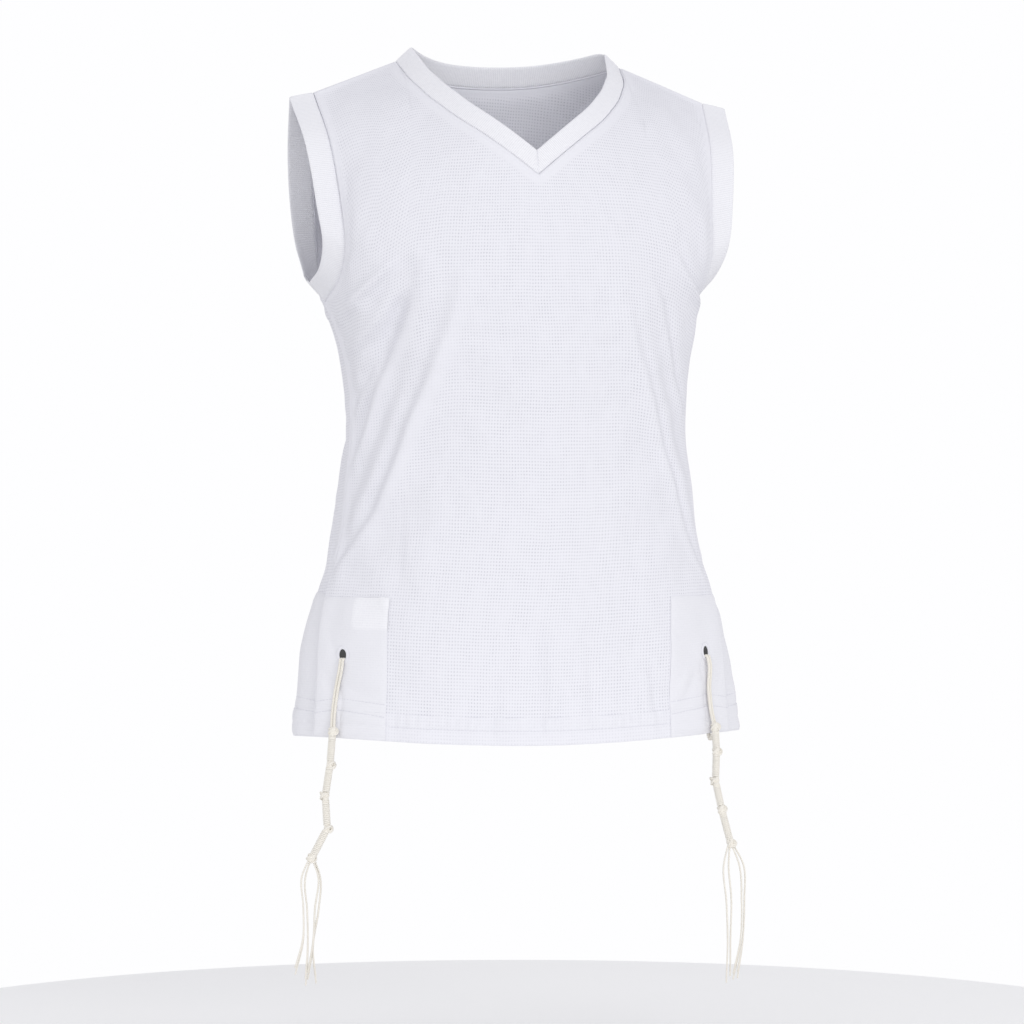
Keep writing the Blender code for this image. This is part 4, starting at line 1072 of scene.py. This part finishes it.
def patch_lift(panel, top):
    """How far a patch stands off its panel: less beside its edges and along its stitches."""
    inner = (np.abs(panel.across) - PATCH_SHARE) * PANEL_REACH
    outer = (1 - np.abs(panel.across)) * PANEL_REACH
    drop = -panel.grid[..., 2]
    edge = np.minimum(np.minimum(inner, outer), np.minimum(drop - drop[top, 0], drop[0, 0] - drop))
    lift = PATCH * (PATCH_EDGE_LIFT + (1 - PATCH_EDGE_LIFT) * ramp(edge, 0, PATCH_EDGE))
    for row in PATCH_STITCH_ROWS:
        shares, drops = np.array(row).T
        away = drop - smooth(shares, drops, np.abs(panel.across))
        lift = lift - STITCH_GROOVE * hump(away, STITCH_GROOVE_WIDTH)
    return SEAM_GAP + np.maximum(lift, 0)


def doubled_part(panel):
    """Where the doubled patch has its second layer: 1 inside it and 0 outside."""
    across = (2 * np.abs(panel.across) - sum(DOUBLED_SHARES)) / np.diff(DOUBLED_SHARES)
    down = (-2 * panel.grid[..., 2] - sum(DOUBLED_DROPS)) / np.diff(DOUBLED_DROPS)
    reach = np.abs(across) ** DOUBLED_SQUARENESS + np.abs(down) ** DOUBLED_SQUARENESS
    return 1 - ramp(reach, 1 - DOUBLED_BLUR, 1 + DOUBLED_BLUR)


def make_patch(place, panel, wearer_side, hand):
    """A patch over one corner of a panel, with its eyelet's hole."""
    picked = np.nonzero(panel.columns * hand >= PATCH_SHARE - COLUMN_TOLERANCE)[0]
    drops = -panel.grid[:panel.first_yoke_row, 0, 2]
    top = np.nonzero(drops >= PATCH_TOP_DROP - ROW_TOLERANCE)[0][-1]
    is_doubled = panel is front and hand < 0
    doubled = doubled_part(panel) if is_doubled else np.zeros_like(panel.across)
    lift = patch_lift(panel, top) + DOUBLED_RISE * doubled
    corner = place + "_" + wearer_side
    patch = cut_cloth("corner_patch_" + corner, panel, np.s_[:top + 1, picked[0]:picked[-1] + 1],
                      lift, (hand,), ("doubled", doubled), (plain_knit, PATCH_CLOTH))
    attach(patch, "root")
    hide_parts("patch_" + corner)


plain_knit = plain_knit_material()
for place, panel, width in (("front", front, 0.064), ("back", back, 0.071)):
    for wearer_side, hand in (("right", -1), ("left", 1)):
        make_patch(place, panel, wearer_side, hand)


# ------------------------------------------------------------------------------------------
# Stitching. White thread in lockstitch: one row round the hem between the patches, and two
# rows across each patch, where the hem's fold and its edge lie.
# ------------------------------------------------------------------------------------------
STITCH = 2.6
STITCH_POINTS = 8
STITCH_DIP = 0.6
STITCH_DIP_WIDTH = 0.13
STITCH_SINK = 0.8
HEM_STITCH_REACH = 0.57
HEM_STITCH_KEYS = 25
THREAD_RADIUS = 0.2
THREAD_SIDES = 5
# The thread is white; this grey is painted shade of the dips where each stitch sinks into the cloth
THREAD_SHADE_COLOUR = "D8D8DF"

# A direction that no path here starts along
ASKEW = (0.31, 0.52, 0.79)


def face_line(panel, shares, drops, lift):
    """Points above a panel's outer face at shares and drops, with their normals."""
    values = np.concatenate([panel.face(lift), panel.normals], axis=-1)[:panel.first_yoke_row]
    found = []
    for place, drop in zip(np.interp(shares, panel.columns, np.arange(len(panel.columns))), drops):
        low = min(int(place), len(panel.columns) - 2)
        left, right = (np.array([np.interp(-drop, values[:, col, 2], values[:, col, axis])
                                 for axis in range(6)]) for col in (low, low + 1))
        found.append(left + (place - low) * (right - left))
    found = np.array(found)
    return found[:, :3], unit(found[:, 3:])


def path_sides(path):
    """Two directions across a path that turn with it as little as possible."""
    tangents = unit(np.gradient(path, axis=0))
    side = np.cross(tangents[0], ASKEW)
    sides = []
    for tangent in tangents:
        side = unit(side - (side @ tangent) * tangent)
        sides.append(side)
    sides = np.array(sides)
    return sides, np.cross(tangents, sides)


def tube(path, radius, sides, material):
    """A round tube along a path, drawn to a point at both ends."""
    across, above = path_sides(path)
    turn = np.linspace(0, 2 * math.pi, sides + 1)
    radii = np.full(len(path), float(radius))
    radii[[0, -1]] = 0.0
    points = path[:, None] + around(turn, across[:, None], above[:, None]) * radii[:, None, None]
    uv = np.stack(np.broadcast_arrays(turn[None, :] * radius, arc_lengths(path, 0)[:, None]), axis=-1)
    made = new_sheet("tube", points, uv, material)
    close_sheet(made)
    return made


def stitches(panel, row, lift):
    """One row of stitches through shares and drops: thread that dips into the cloth."""
    row = np.array(row)
    rough = face_line(panel, row[:, 0], row[:, 1], 0.0)[0]
    length = arc_lengths(rough, 0)[-1]
    keys = np.linspace(0, 1, len(row))
    share = np.linspace(0, 1, round(length / STITCH) * STITCH_POINTS)
    shares, drops = (smooth(keys, row[:, axis], share) for axis in (0, 1))
    points, normals = face_line(panel, shares, drops, lift)
    phase = np.arange(len(share)) / STITCH_POINTS % 1
    height = THREAD_RADIUS / 2 - STITCH_DIP * hump(phase - 0.5, STITCH_DIP_WIDTH)
    return tube(points + normals * height[:, None], THREAD_RADIUS, THREAD_SIDES, shade_painted_thread)


def join(pieces, name):
    bpy.ops.object.select_all(action="DESELECT")
    for piece in pieces:
        piece.select_set(True)
    bpy.context.view_layer.objects.active = pieces[0]
    bpy.ops.object.join()
    pieces[0].name = pieces[0].data.name = name
    shade(pieces[0], 60)
    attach(pieces[0], "root")
    return pieces[0]


def stitch_panel(place, panel):
    """All the visible stitches of one panel."""
    hem = [(share, HEM_STITCH_DROP + HEM_SAG * math.cos(share * math.pi / 2) ** 2)
           for share in np.linspace(-HEM_STITCH_REACH, HEM_STITCH_REACH, HEM_STITCH_KEYS)]
    rows = [stitches(panel, hem, 0.0)]
    lift = SEAM_GAP + PATCH - STITCH_GROOVE * STITCH_SINK
    for hand in (-1, 1):
        for row in PATCH_STITCH_ROWS:
            rows.append(stitches(panel, [(share * hand, drop) for share, drop in row], lift))
    join(rows, "stitching_" + place)


# White thread, painted grey as shade
shade_painted_thread, _, _ = new_material("white polyester thread painted with shade", THREAD_SHADE_COLOUR, 0.6)
stitch_panel("front", front)
stitch_panel("back", back)


# ------------------------------------------------------------------------------------------
# Eyelets. White thread in satin stitch round each hole, and a black backing sewn behind it. The
# backings end above the strings, which fill the lower part of the two front holes.
# ------------------------------------------------------------------------------------------
SATIN_STITCHES = 46
SATIN_POINTS = 4
SATIN_RIDGE = 0.05
SATIN_COLOUR = "E4E4EA"
BACKING_COLOUR = "464646"
BACKING_THICKNESS = 0.8
BACKING_CUT = -2.1
BACKING_MIDDLE = 1.0
BACKING_POINTS = 24

# The ring's section: how far out from the hole's edge, and how far above the patch. The stitches
# stand out as ridges where it is above RIDGE_START.
RING_SECTION = ((-0.2, -0.5), (-0.15, 0.1), (0.15, 0.28), (0.6, 0.36), (1.1, 0.36), (1.6, 0.3),
                (2.0, 0.18), (2.25, 0.07), (2.2, 0.04), (0.1, 0.04), (0.05, -0.5))
RIDGE_START = 0.15


def satin_ring(corner, panel, hand):
    """The stitched rim of one eyelet."""
    middle, sideways, upward, out = eyelet_frame(panel, hand)
    turn = np.linspace(0, 2 * math.pi, SATIN_STITCHES * SATIN_POINTS + 1)
    ridge = SATIN_RIDGE * np.cos(turn * SATIN_STITCHES)
    points, uv = [], []
    for wide, lift in RING_SECTION + RING_SECTION[:1]:
        oval = around(turn, (HOLE_HALF_WIDTH + wide) * sideways, (HOLE_HALF_HEIGHT + wide) * upward)
        points.append(middle + oval + np.outer(lift + ridge * (lift > RIDGE_START), out))
        uv.append(np.stack([turn * HOLE_HALF_HEIGHT, np.full_like(turn, wide)], axis=-1))
    points, uv = np.stack(points, axis=1), np.stack(uv, axis=1)
    ring = new_sheet("satin_ring_" + corner, points, uv, satin_thread)
    close_sheet(ring)
    shade(ring, 60)
    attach(ring, "root")
    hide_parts("eyelet_" + corner)


def eyelet_backing(corner, panel, hand):
    """The black cloth behind one hole."""
    middle, sideways, upward, out = eyelet_frame(panel, hand)
    half_width, half_height = HOLE_HALF_WIDTH - SEAM_GAP, HOLE_HALF_HEIGHT - SEAM_GAP
    start = math.asin(BACKING_CUT / half_height)
    turn = np.append(np.linspace(start, math.pi - start, BACKING_POINTS), start)
    rim = around(turn, half_width * sideways, half_height * upward)
    centre = upward * BACKING_MIDDLE
    shares = np.array([1.0, 0.5, 0.0])[:, None, None]
    points = middle - out * (SEAM_GAP + BACKING_THICKNESS / 2) + centre + shares * (rim - centre)
    cloth = new_sheet("black_backing_" + corner, points, points[..., :2], black_cloth)
    close_sheet(cloth)
    apply_modifier(cloth, "SOLIDIFY", thickness=BACKING_THICKNESS * MM, offset=0)
    shade(cloth)
    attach(cloth, "root")
    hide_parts("eyelet_backing_" + corner)


satin_thread, _, _ = new_material("white satin stitch thread", SATIN_COLOUR, 0.55)
black_cloth, _, _ = new_material("matte black backing cloth", BACKING_COLOUR, 0.95)
for place, panel in (("front", front), ("back", back)):
    for wearer_side, hand in (("right", -1), ("left", 1)):
        satin_ring(place + "_" + wearer_side, panel, hand)
        eyelet_backing(place + "_" + wearer_side, panel, hand)


# ------------------------------------------------------------------------------------------
# Tassels. Cream wool strings, each of two plies: drawn through the eyelet and round the hem,
# tied in five double knots with a winding between each, and left to hang free.
# ------------------------------------------------------------------------------------------
STRING = 1.4
STRING_SIDES = 6
CORE_SIDES = 10
STRING_COLOUR = "F2EFE8"
STRING_SHADE = "E6E1D7"
TASSEL_ACROSS = np.array([0.966, -0.259, 0.0])
TASSEL_AHEAD = np.array([-0.259, -0.966, 0.0])
DOWN = -UP

# Two plies twist round each string: length of a twist, and their place and radius as shares
PLY_PITCH = 3.2
PLY_PLACE = 0.44
PLY_RADIUS = 0.6

# The two cords of a tassel: up from the knot in front of the patch, in stages with a lift each,
# through the eyelet, down behind the panel and round the hem. At the eyelet each step has its
# height, its distance outwards and the share of the cords' distance apart.
CORD_RADIUS = 1.15
CORD_APART = 1.08
CORD_BOW = {"right": -2.8, "left": 0.6}
CORD_FRONT_GAP = 0.5
CORD_BACK_GAP = 0.6
CORD_SLACK = 0.5
CORD_STAGES_UP = ((0.28, 1.2), (0.62, 0.4))
CORD_STAGES_DOWN = (0.3, 0.7)
CORD_TOP_BELOW = 8.0
CORD_IN_HOLE = -3.3
CORD_EYELET_STEPS = ((-3.4, 2.3, 1.0), (0.0, 1.4, 0.95), (0.0, -1.4, 0.95), (-1.6, -4.6, 1.0))
CORD_HEM_RISE = 3.0
CORD_BELOW_HEM = (7.5, 0.8)
CORD_IN_KNOT = (2.0, 0.6)
CORD_POINTS = 420

# A double knot: two strings in a closed loop of three lobes round a core
KNOT_RADIUS = 4.0
KNOT_END = 2.52
LOOP_POINTS = 120
LOOP_TURN = 2.3
LOOP_REACH = 2.2
LOOP_SWING = 0.8
LOOP_HEIGHT = 2.0
LOOP_APART = 0.6
LOOP_RADIUS = 0.74
KNOT_CORE = (-3.4, -2.6, 0.0, 2.6, 3.4)
KNOT_CORE_RADIUS = 2.5

# A winding: its turns lie a little closer than the string is wide
WOUND_RADIUS = 2.9
WINDING_CLOSENESS = 0.97
WINDING_POINTS = 15

# Where the first knot hangs in front of the hem, and where the cords pass round it. The knots
# stand across from the first one and below it.
FIRST_KNOT_DROP = 498.0
TASSEL_KNOT_SHARE = {"right": -0.85, "left": 0.835}
HEM_PASS_SHARE = {"right": -0.875, "left": 0.85}
Knot = namedtuple("Knot", "across below")
KNOTS = {
    "right": (Knot(0, 0), Knot(-2.0, 24.5), Knot(-5.4, 47.2), Knot(-4.0, 70.9), Knot(-15.4, 92.9)),
    "left": (Knot(0, 0), Knot(1.0, 18.7), Knot(0.2, 40.4), Knot(4.8, 61.7), Knot(11.6, 87.4)),
}

# How far the lump of each knot stands to one side
KNOT_BULGES = {"right": (0.3, 0.9, -0.8, 0.9, -0.2), "left": (0.2, 0.4, -0.8, 0.3, 0.6)}

# The free strings hang in pairs from the last knot. Each pair has its place across at three
# shares of its fall and at its end, and its depth ahead of the knot.
STRAND_SHARES = (0.16, 0.42, 0.72)
STRAND_SPREAD = 1.3
STRAND_ROOT = 0.6
STRAND_ROOT_AHEAD = (0.45, 0.5)
STRAND_APART = 0.95
STRAND_OPENING = 0.6
STRAND_UNEVEN = 2.5
STRAND_POINTS = 220
Pair = namedtuple("Pair", "near middle low end fall depth")
PAIRS = {
    "right": (Pair(-7.0, -6.0, -6.2, -12.0, 82.5, 2.4), Pair(-4.6, -3.2, -2.8, -4.4, 90.5, 0.6),
              Pair(4.8, 2.4, 1.0, -3.0, 86.5, -1.2), Pair(6.2, 5.0, 0.8, 3.0, 89.5, -3.0)),
    "left": (Pair(-5.4, -3.4, -2.4, -3.4, 101.5, 2.4), Pair(-1.6, 0.4, -0.2, -0.4, 96.5, 0.6),
             Pair(6.4, 8.2, 7.4, 1.8, 99.5, -1.2), Pair(9.6, 10.4, 9.2, 5.2, 98.5, -3.0)),
}


def string_material():
    """Cream wool yarn: soft, with short fibres along the ply."""
    material, tree, shader = new_material("cream wool string", STRING_COLOUR, 0.95)
    fibres = add(tree, "ShaderNodeTexNoise", {"Scale": 900.0, "Detail": 3.0})
    set_surface(tree, shader, blend(tree, fibres, STRING_COLOUR, STRING_SHADE), fibres, 0.3, 0.0002)
    return material


def smooth_path(points, count):
    """Evenly spread points on a smooth curve through a route's own points."""
    points = np.asarray(points, float)
    keys = arc_lengths(points, 0)
    return smooth_points(keys, points, np.linspace(0, keys[-1], count))


def plied(path, radius):
    """Two plies twisted round a path."""
    angle = arc_lengths(path, 0) * 2 * math.pi / PLY_PITCH
    twist = around(angle, *path_sides(path)) * radius * PLY_PLACE
    return [tube(ply, radius * PLY_RADIUS, STRING_SIDES, cream_wool)
            for ply in (path + twist, path - twist)]


def loop_route(wearer_side, hand, knot, side):
    """A cord from the knot up to the eyelet, through it, down behind the hem and to the knot."""
    eye, sideways, upward, out = eyelet_frame(front, hand)
    aside = sideways * side * CORD_APART
    ahead = KNIT / 2 + SEAM_GAP + PATCH + CORD_RADIUS + CORD_FRONT_GAP
    behind = KNIT / 2 + CORD_RADIUS + CORD_BACK_GAP
    knot_share, hem_share = TASSEL_KNOT_SHARE[wearer_side], HEM_PASS_SHARE[wearer_side]
    eyelet_share = FRONT_EYELET_SHARE * hand
    route = [knot + aside]
    for part, lift in CORD_STAGES_UP:
        drop = HEM_DROP + (EYELET_DROP + CORD_TOP_BELOW - HEM_DROP) * part
        point, normal = front.place(knot_share + (eyelet_share - knot_share) * part, drop)
        route.append(point + normal * (ahead + lift) + aside + sideways * CORD_BOW[wearer_side])
    for above, outwards, apart in CORD_EYELET_STEPS:
        route.append(eye + upward * (CORD_IN_HOLE + above) + out * outwards + aside * apart)
    for part in CORD_STAGES_DOWN:
        drop = EYELET_DROP + (HEM_DROP - EYELET_DROP) * part
        point, normal = front.place(eyelet_share + (hem_share - eyelet_share) * part, drop)
        route.append(point - normal * (behind + CORD_SLACK) + aside)
    point, normal = front.place(hem_share, HEM_DROP - CORD_HEM_RISE)
    route.append(point - normal * behind + aside)
    for start, (below, apart) in ((point, CORD_BELOW_HEM), (knot, CORD_IN_KNOT)):
        route.append(start + DOWN * below + aside * apart)
    return smooth_path(route, CORD_POINTS)


def knot_tubes(centre, along, bulge):
    """One double knot: two strings side by side in a closed overhand loop over the rest."""
    facing = unit(np.cross(along, TASSEL_ACROSS))
    aside = np.cross(facing, along)
    turn = np.linspace(0, 2 * math.pi, LOOP_POINTS) + bulge * LOOP_TURN
    out = LOOP_REACH + LOOP_SWING * np.cos(3 * turn)
    path = (centre + aside * bulge + out[:, None] * around(2 * turn, aside, facing)
            + np.outer(LOOP_HEIGHT * np.sin(3 * turn), along))
    _, above = path_sides(path)
    tubes = [tube(path + above * shift, LOOP_RADIUS, STRING_SIDES, cream_wool)
             for shift in (-LOOP_APART, LOOP_APART)]
    core = centre + np.outer(KNOT_CORE, along)
    return tubes + [tube(core, KNOT_CORE_RADIUS, CORE_SIDES, cream_wool)]


def winding(start, end):
    """A string wound closely round the others from one knot to the next."""
    run = end - start
    length = np.linalg.norm(run)
    across = unit(np.cross(run / length, -TASSEL_AHEAD))
    above = np.cross(run / length, across)
    turns = length / (STRING * WINDING_CLOSENESS)
    rise = np.linspace(0, 1, round(turns * WINDING_POINTS))
    coil = WOUND_RADIUS - STRING / 2
    path = start + np.outer(rise, run) + coil * around(rise * turns * 2 * math.pi, across, above)
    core = start + np.outer(np.linspace(0, 1, 4), run)
    return [tube(path, STRING / 2, STRING_SIDES, cream_wool), tube(core, coil, CORE_SIDES, cream_wool)]


def strand_route(pair, number, side, knot):
    """One free string of a pair, hanging from the last knot."""
    apart = side * STRAND_APART
    root = TASSEL_ACROSS * (number - 1.5) * STRAND_SPREAD + DOWN * STRAND_ROOT
    ahead = pair.depth * STRAND_ROOT_AHEAD[0] + apart * STRAND_ROOT_AHEAD[1]
    route = [knot + root + TASSEL_AHEAD * ahead]
    for share, across in zip((*STRAND_SHARES, 1.0), (pair.near, pair.middle, pair.low, pair.end)):
        fall = (pair.fall - STRAND_UNEVEN * side * share) * share
        ahead = pair.depth + apart * (1.0 + STRAND_OPENING * share)
        route.append(knot + TASSEL_ACROSS * across + DOWN * fall + TASSEL_AHEAD * ahead)
    return smooth_path(route, STRAND_POINTS)


def make_tassel(wearer_side, hand):
    """All the strings of one tassel as one piece."""
    hem_point, hem_out = front.place(TASSEL_KNOT_SHARE[wearer_side], FIRST_KNOT_DROP)
    first = hem_point + hem_out * (KNIT / 2 + HEM_RISE + SEAM_GAP * 2 + PATCH + KNOT_RADIUS)
    centres = [first + TASSEL_ACROSS * knot.across + DOWN * knot.below for knot in KNOTS[wearer_side]]
    tubes = []
    for side in (-1, 1):
        tubes += plied(loop_route(wearer_side, hand, centres[0], side), CORD_RADIUS)
    for index, centre in enumerate(centres):
        along = unit(centres[min(index + 1, len(centres) - 1)] - centres[max(index - 1, 0)])
        tubes += knot_tubes(centre, along, KNOT_BULGES[wearer_side][index])
        if index:
            gap = unit(centre - centres[index - 1]) * KNOT_END
            tubes += winding(centres[index - 1] + gap, centre - gap)
    for number, pair in enumerate(PAIRS[wearer_side]):
        for side in (-1, 1):
            tubes += plied(strand_route(pair, number, side, centres[-1]), STRING / 2)
    tassel = join(tubes, "tzitzit_" + wearer_side)
    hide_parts("tassel_" + wearer_side)


cream_wool = string_material()
make_tassel("right", -1)
make_tassel("left", 1)


# ------------------------------------------------------------------------------------------
# Stage. A round pale floor, soft studio light and a camera where the photo's stood.
# ------------------------------------------------------------------------------------------
FLOOR_DROP = 735.0
FLOOR_RADIUS = 0.55
FLOOR_GLOW = 0.06
FLOOR_DEPTH = 0.02
FLOOR_SIDES = 96
FLOOR_COLOUR = "FAFAFA"
GLOW_COLOUR = "FFFFFF"
CAMERA_TURN = math.radians(-15.0)
CAMERA_DISTANCE = 3.0
PIXEL = 0.00075
PICTURE = 1024
IMAGE_AXIS = 517.0
IMAGE_TOP = 62.0
SURROUND_COLOUR = "FEFEFF"
CEILING_COLOUR = "D2D2D6"
CEILING_RAMP = (0.25, 0.7)
GROUND_COLOUR = "C0C0C4"
GROUND_RAMP = (-0.25, -0.5)
LIGHT_AIM = (0.0, -0.03, -0.3)


def make_floor():
    middle = (0.0, AXIS_Y * MM, -FLOOR_DROP * MM - FLOOR_DEPTH / 2)
    bpy.ops.mesh.primitive_cylinder_add(vertices=FLOOR_SIDES, radius=FLOOR_RADIUS,
                                        depth=FLOOR_DEPTH, location=middle)
    floor = bpy.context.object
    floor.name = "pale_floor"
    material, _, shader = new_material("pale floor", FLOOR_COLOUR, 1.0)
    shader.inputs["Emission Color"].default_value = linear(GLOW_COLOUR)
    shader.inputs["Emission Strength"].default_value = FLOOR_GLOW
    floor.data.materials.append(material)


def make_surround():
    """White all round at the garment's height, and greyer above and below it."""
    world = bpy.data.worlds.new("pale surroundings")
    world.use_nodes = True
    tree = world.node_tree
    direction = add(tree, "ShaderNodeTexCoord", {})
    height = add(tree, "ShaderNodeSeparateXYZ", {"Vector": direction}).node.outputs["Z"]
    high, low = (add(tree, "ShaderNodeMapRange", {"Value": height, "From Min": start, "From Max": end})
                 for start, end in (CEILING_RAMP, GROUND_RAMP))
    upper = blend(tree, high, SURROUND_COLOUR, CEILING_COLOUR)
    colour = blend(tree, low, upper, GROUND_COLOUR)
    tree.links.new(colour, tree.nodes["Background"].inputs["Color"])
    bpy.context.scene.world = world


def soft_light(name, place, size, power):
    bpy.ops.object.light_add(type="AREA", location=place)
    light = bpy.context.object
    light.name = name
    light.data.shape = "DISK"
    light.data.size = size
    light.data.energy = power
    aim = np.array(LIGHT_AIM) - np.array(place)
    light.rotation_euler = (math.acos(-aim[2] / np.linalg.norm(aim)), 0.0,
                            math.atan2(aim[1], aim[0]) - math.pi / 2)


make_floor()
make_surround()
soft_light("key_light", (0.9, -2.8, 0.6), 1.4, 16.0)
soft_light("fill_light", (-1.2, -2.7, 0.1), 1.4, 10.0)
bpy.context.scene.view_settings.view_transform = "Standard"

right = np.array([math.cos(CAMERA_TURN), math.sin(CAMERA_TURN)])
aside = (PICTURE / 2 - IMAGE_AXIS) * PIXEL
below = (PICTURE / 2 - IMAGE_TOP) * PIXEL
target = np.array([right[0] * aside, AXIS_Y * MM + right[1] * aside, -below])
away = np.array([math.sin(CAMERA_TURN), -math.cos(CAMERA_TURN), 0.0])
bpy.ops.object.camera_add(location=target + away * CAMERA_DISTANCE,
                          rotation=(math.pi / 2, 0.0, CAMERA_TURN))
camera = bpy.context.object
camera.data.lens = CAMERA_DISTANCE * camera.data.sensor_width / (PICTURE * PIXEL)
bpy.context.scene.camera = camera
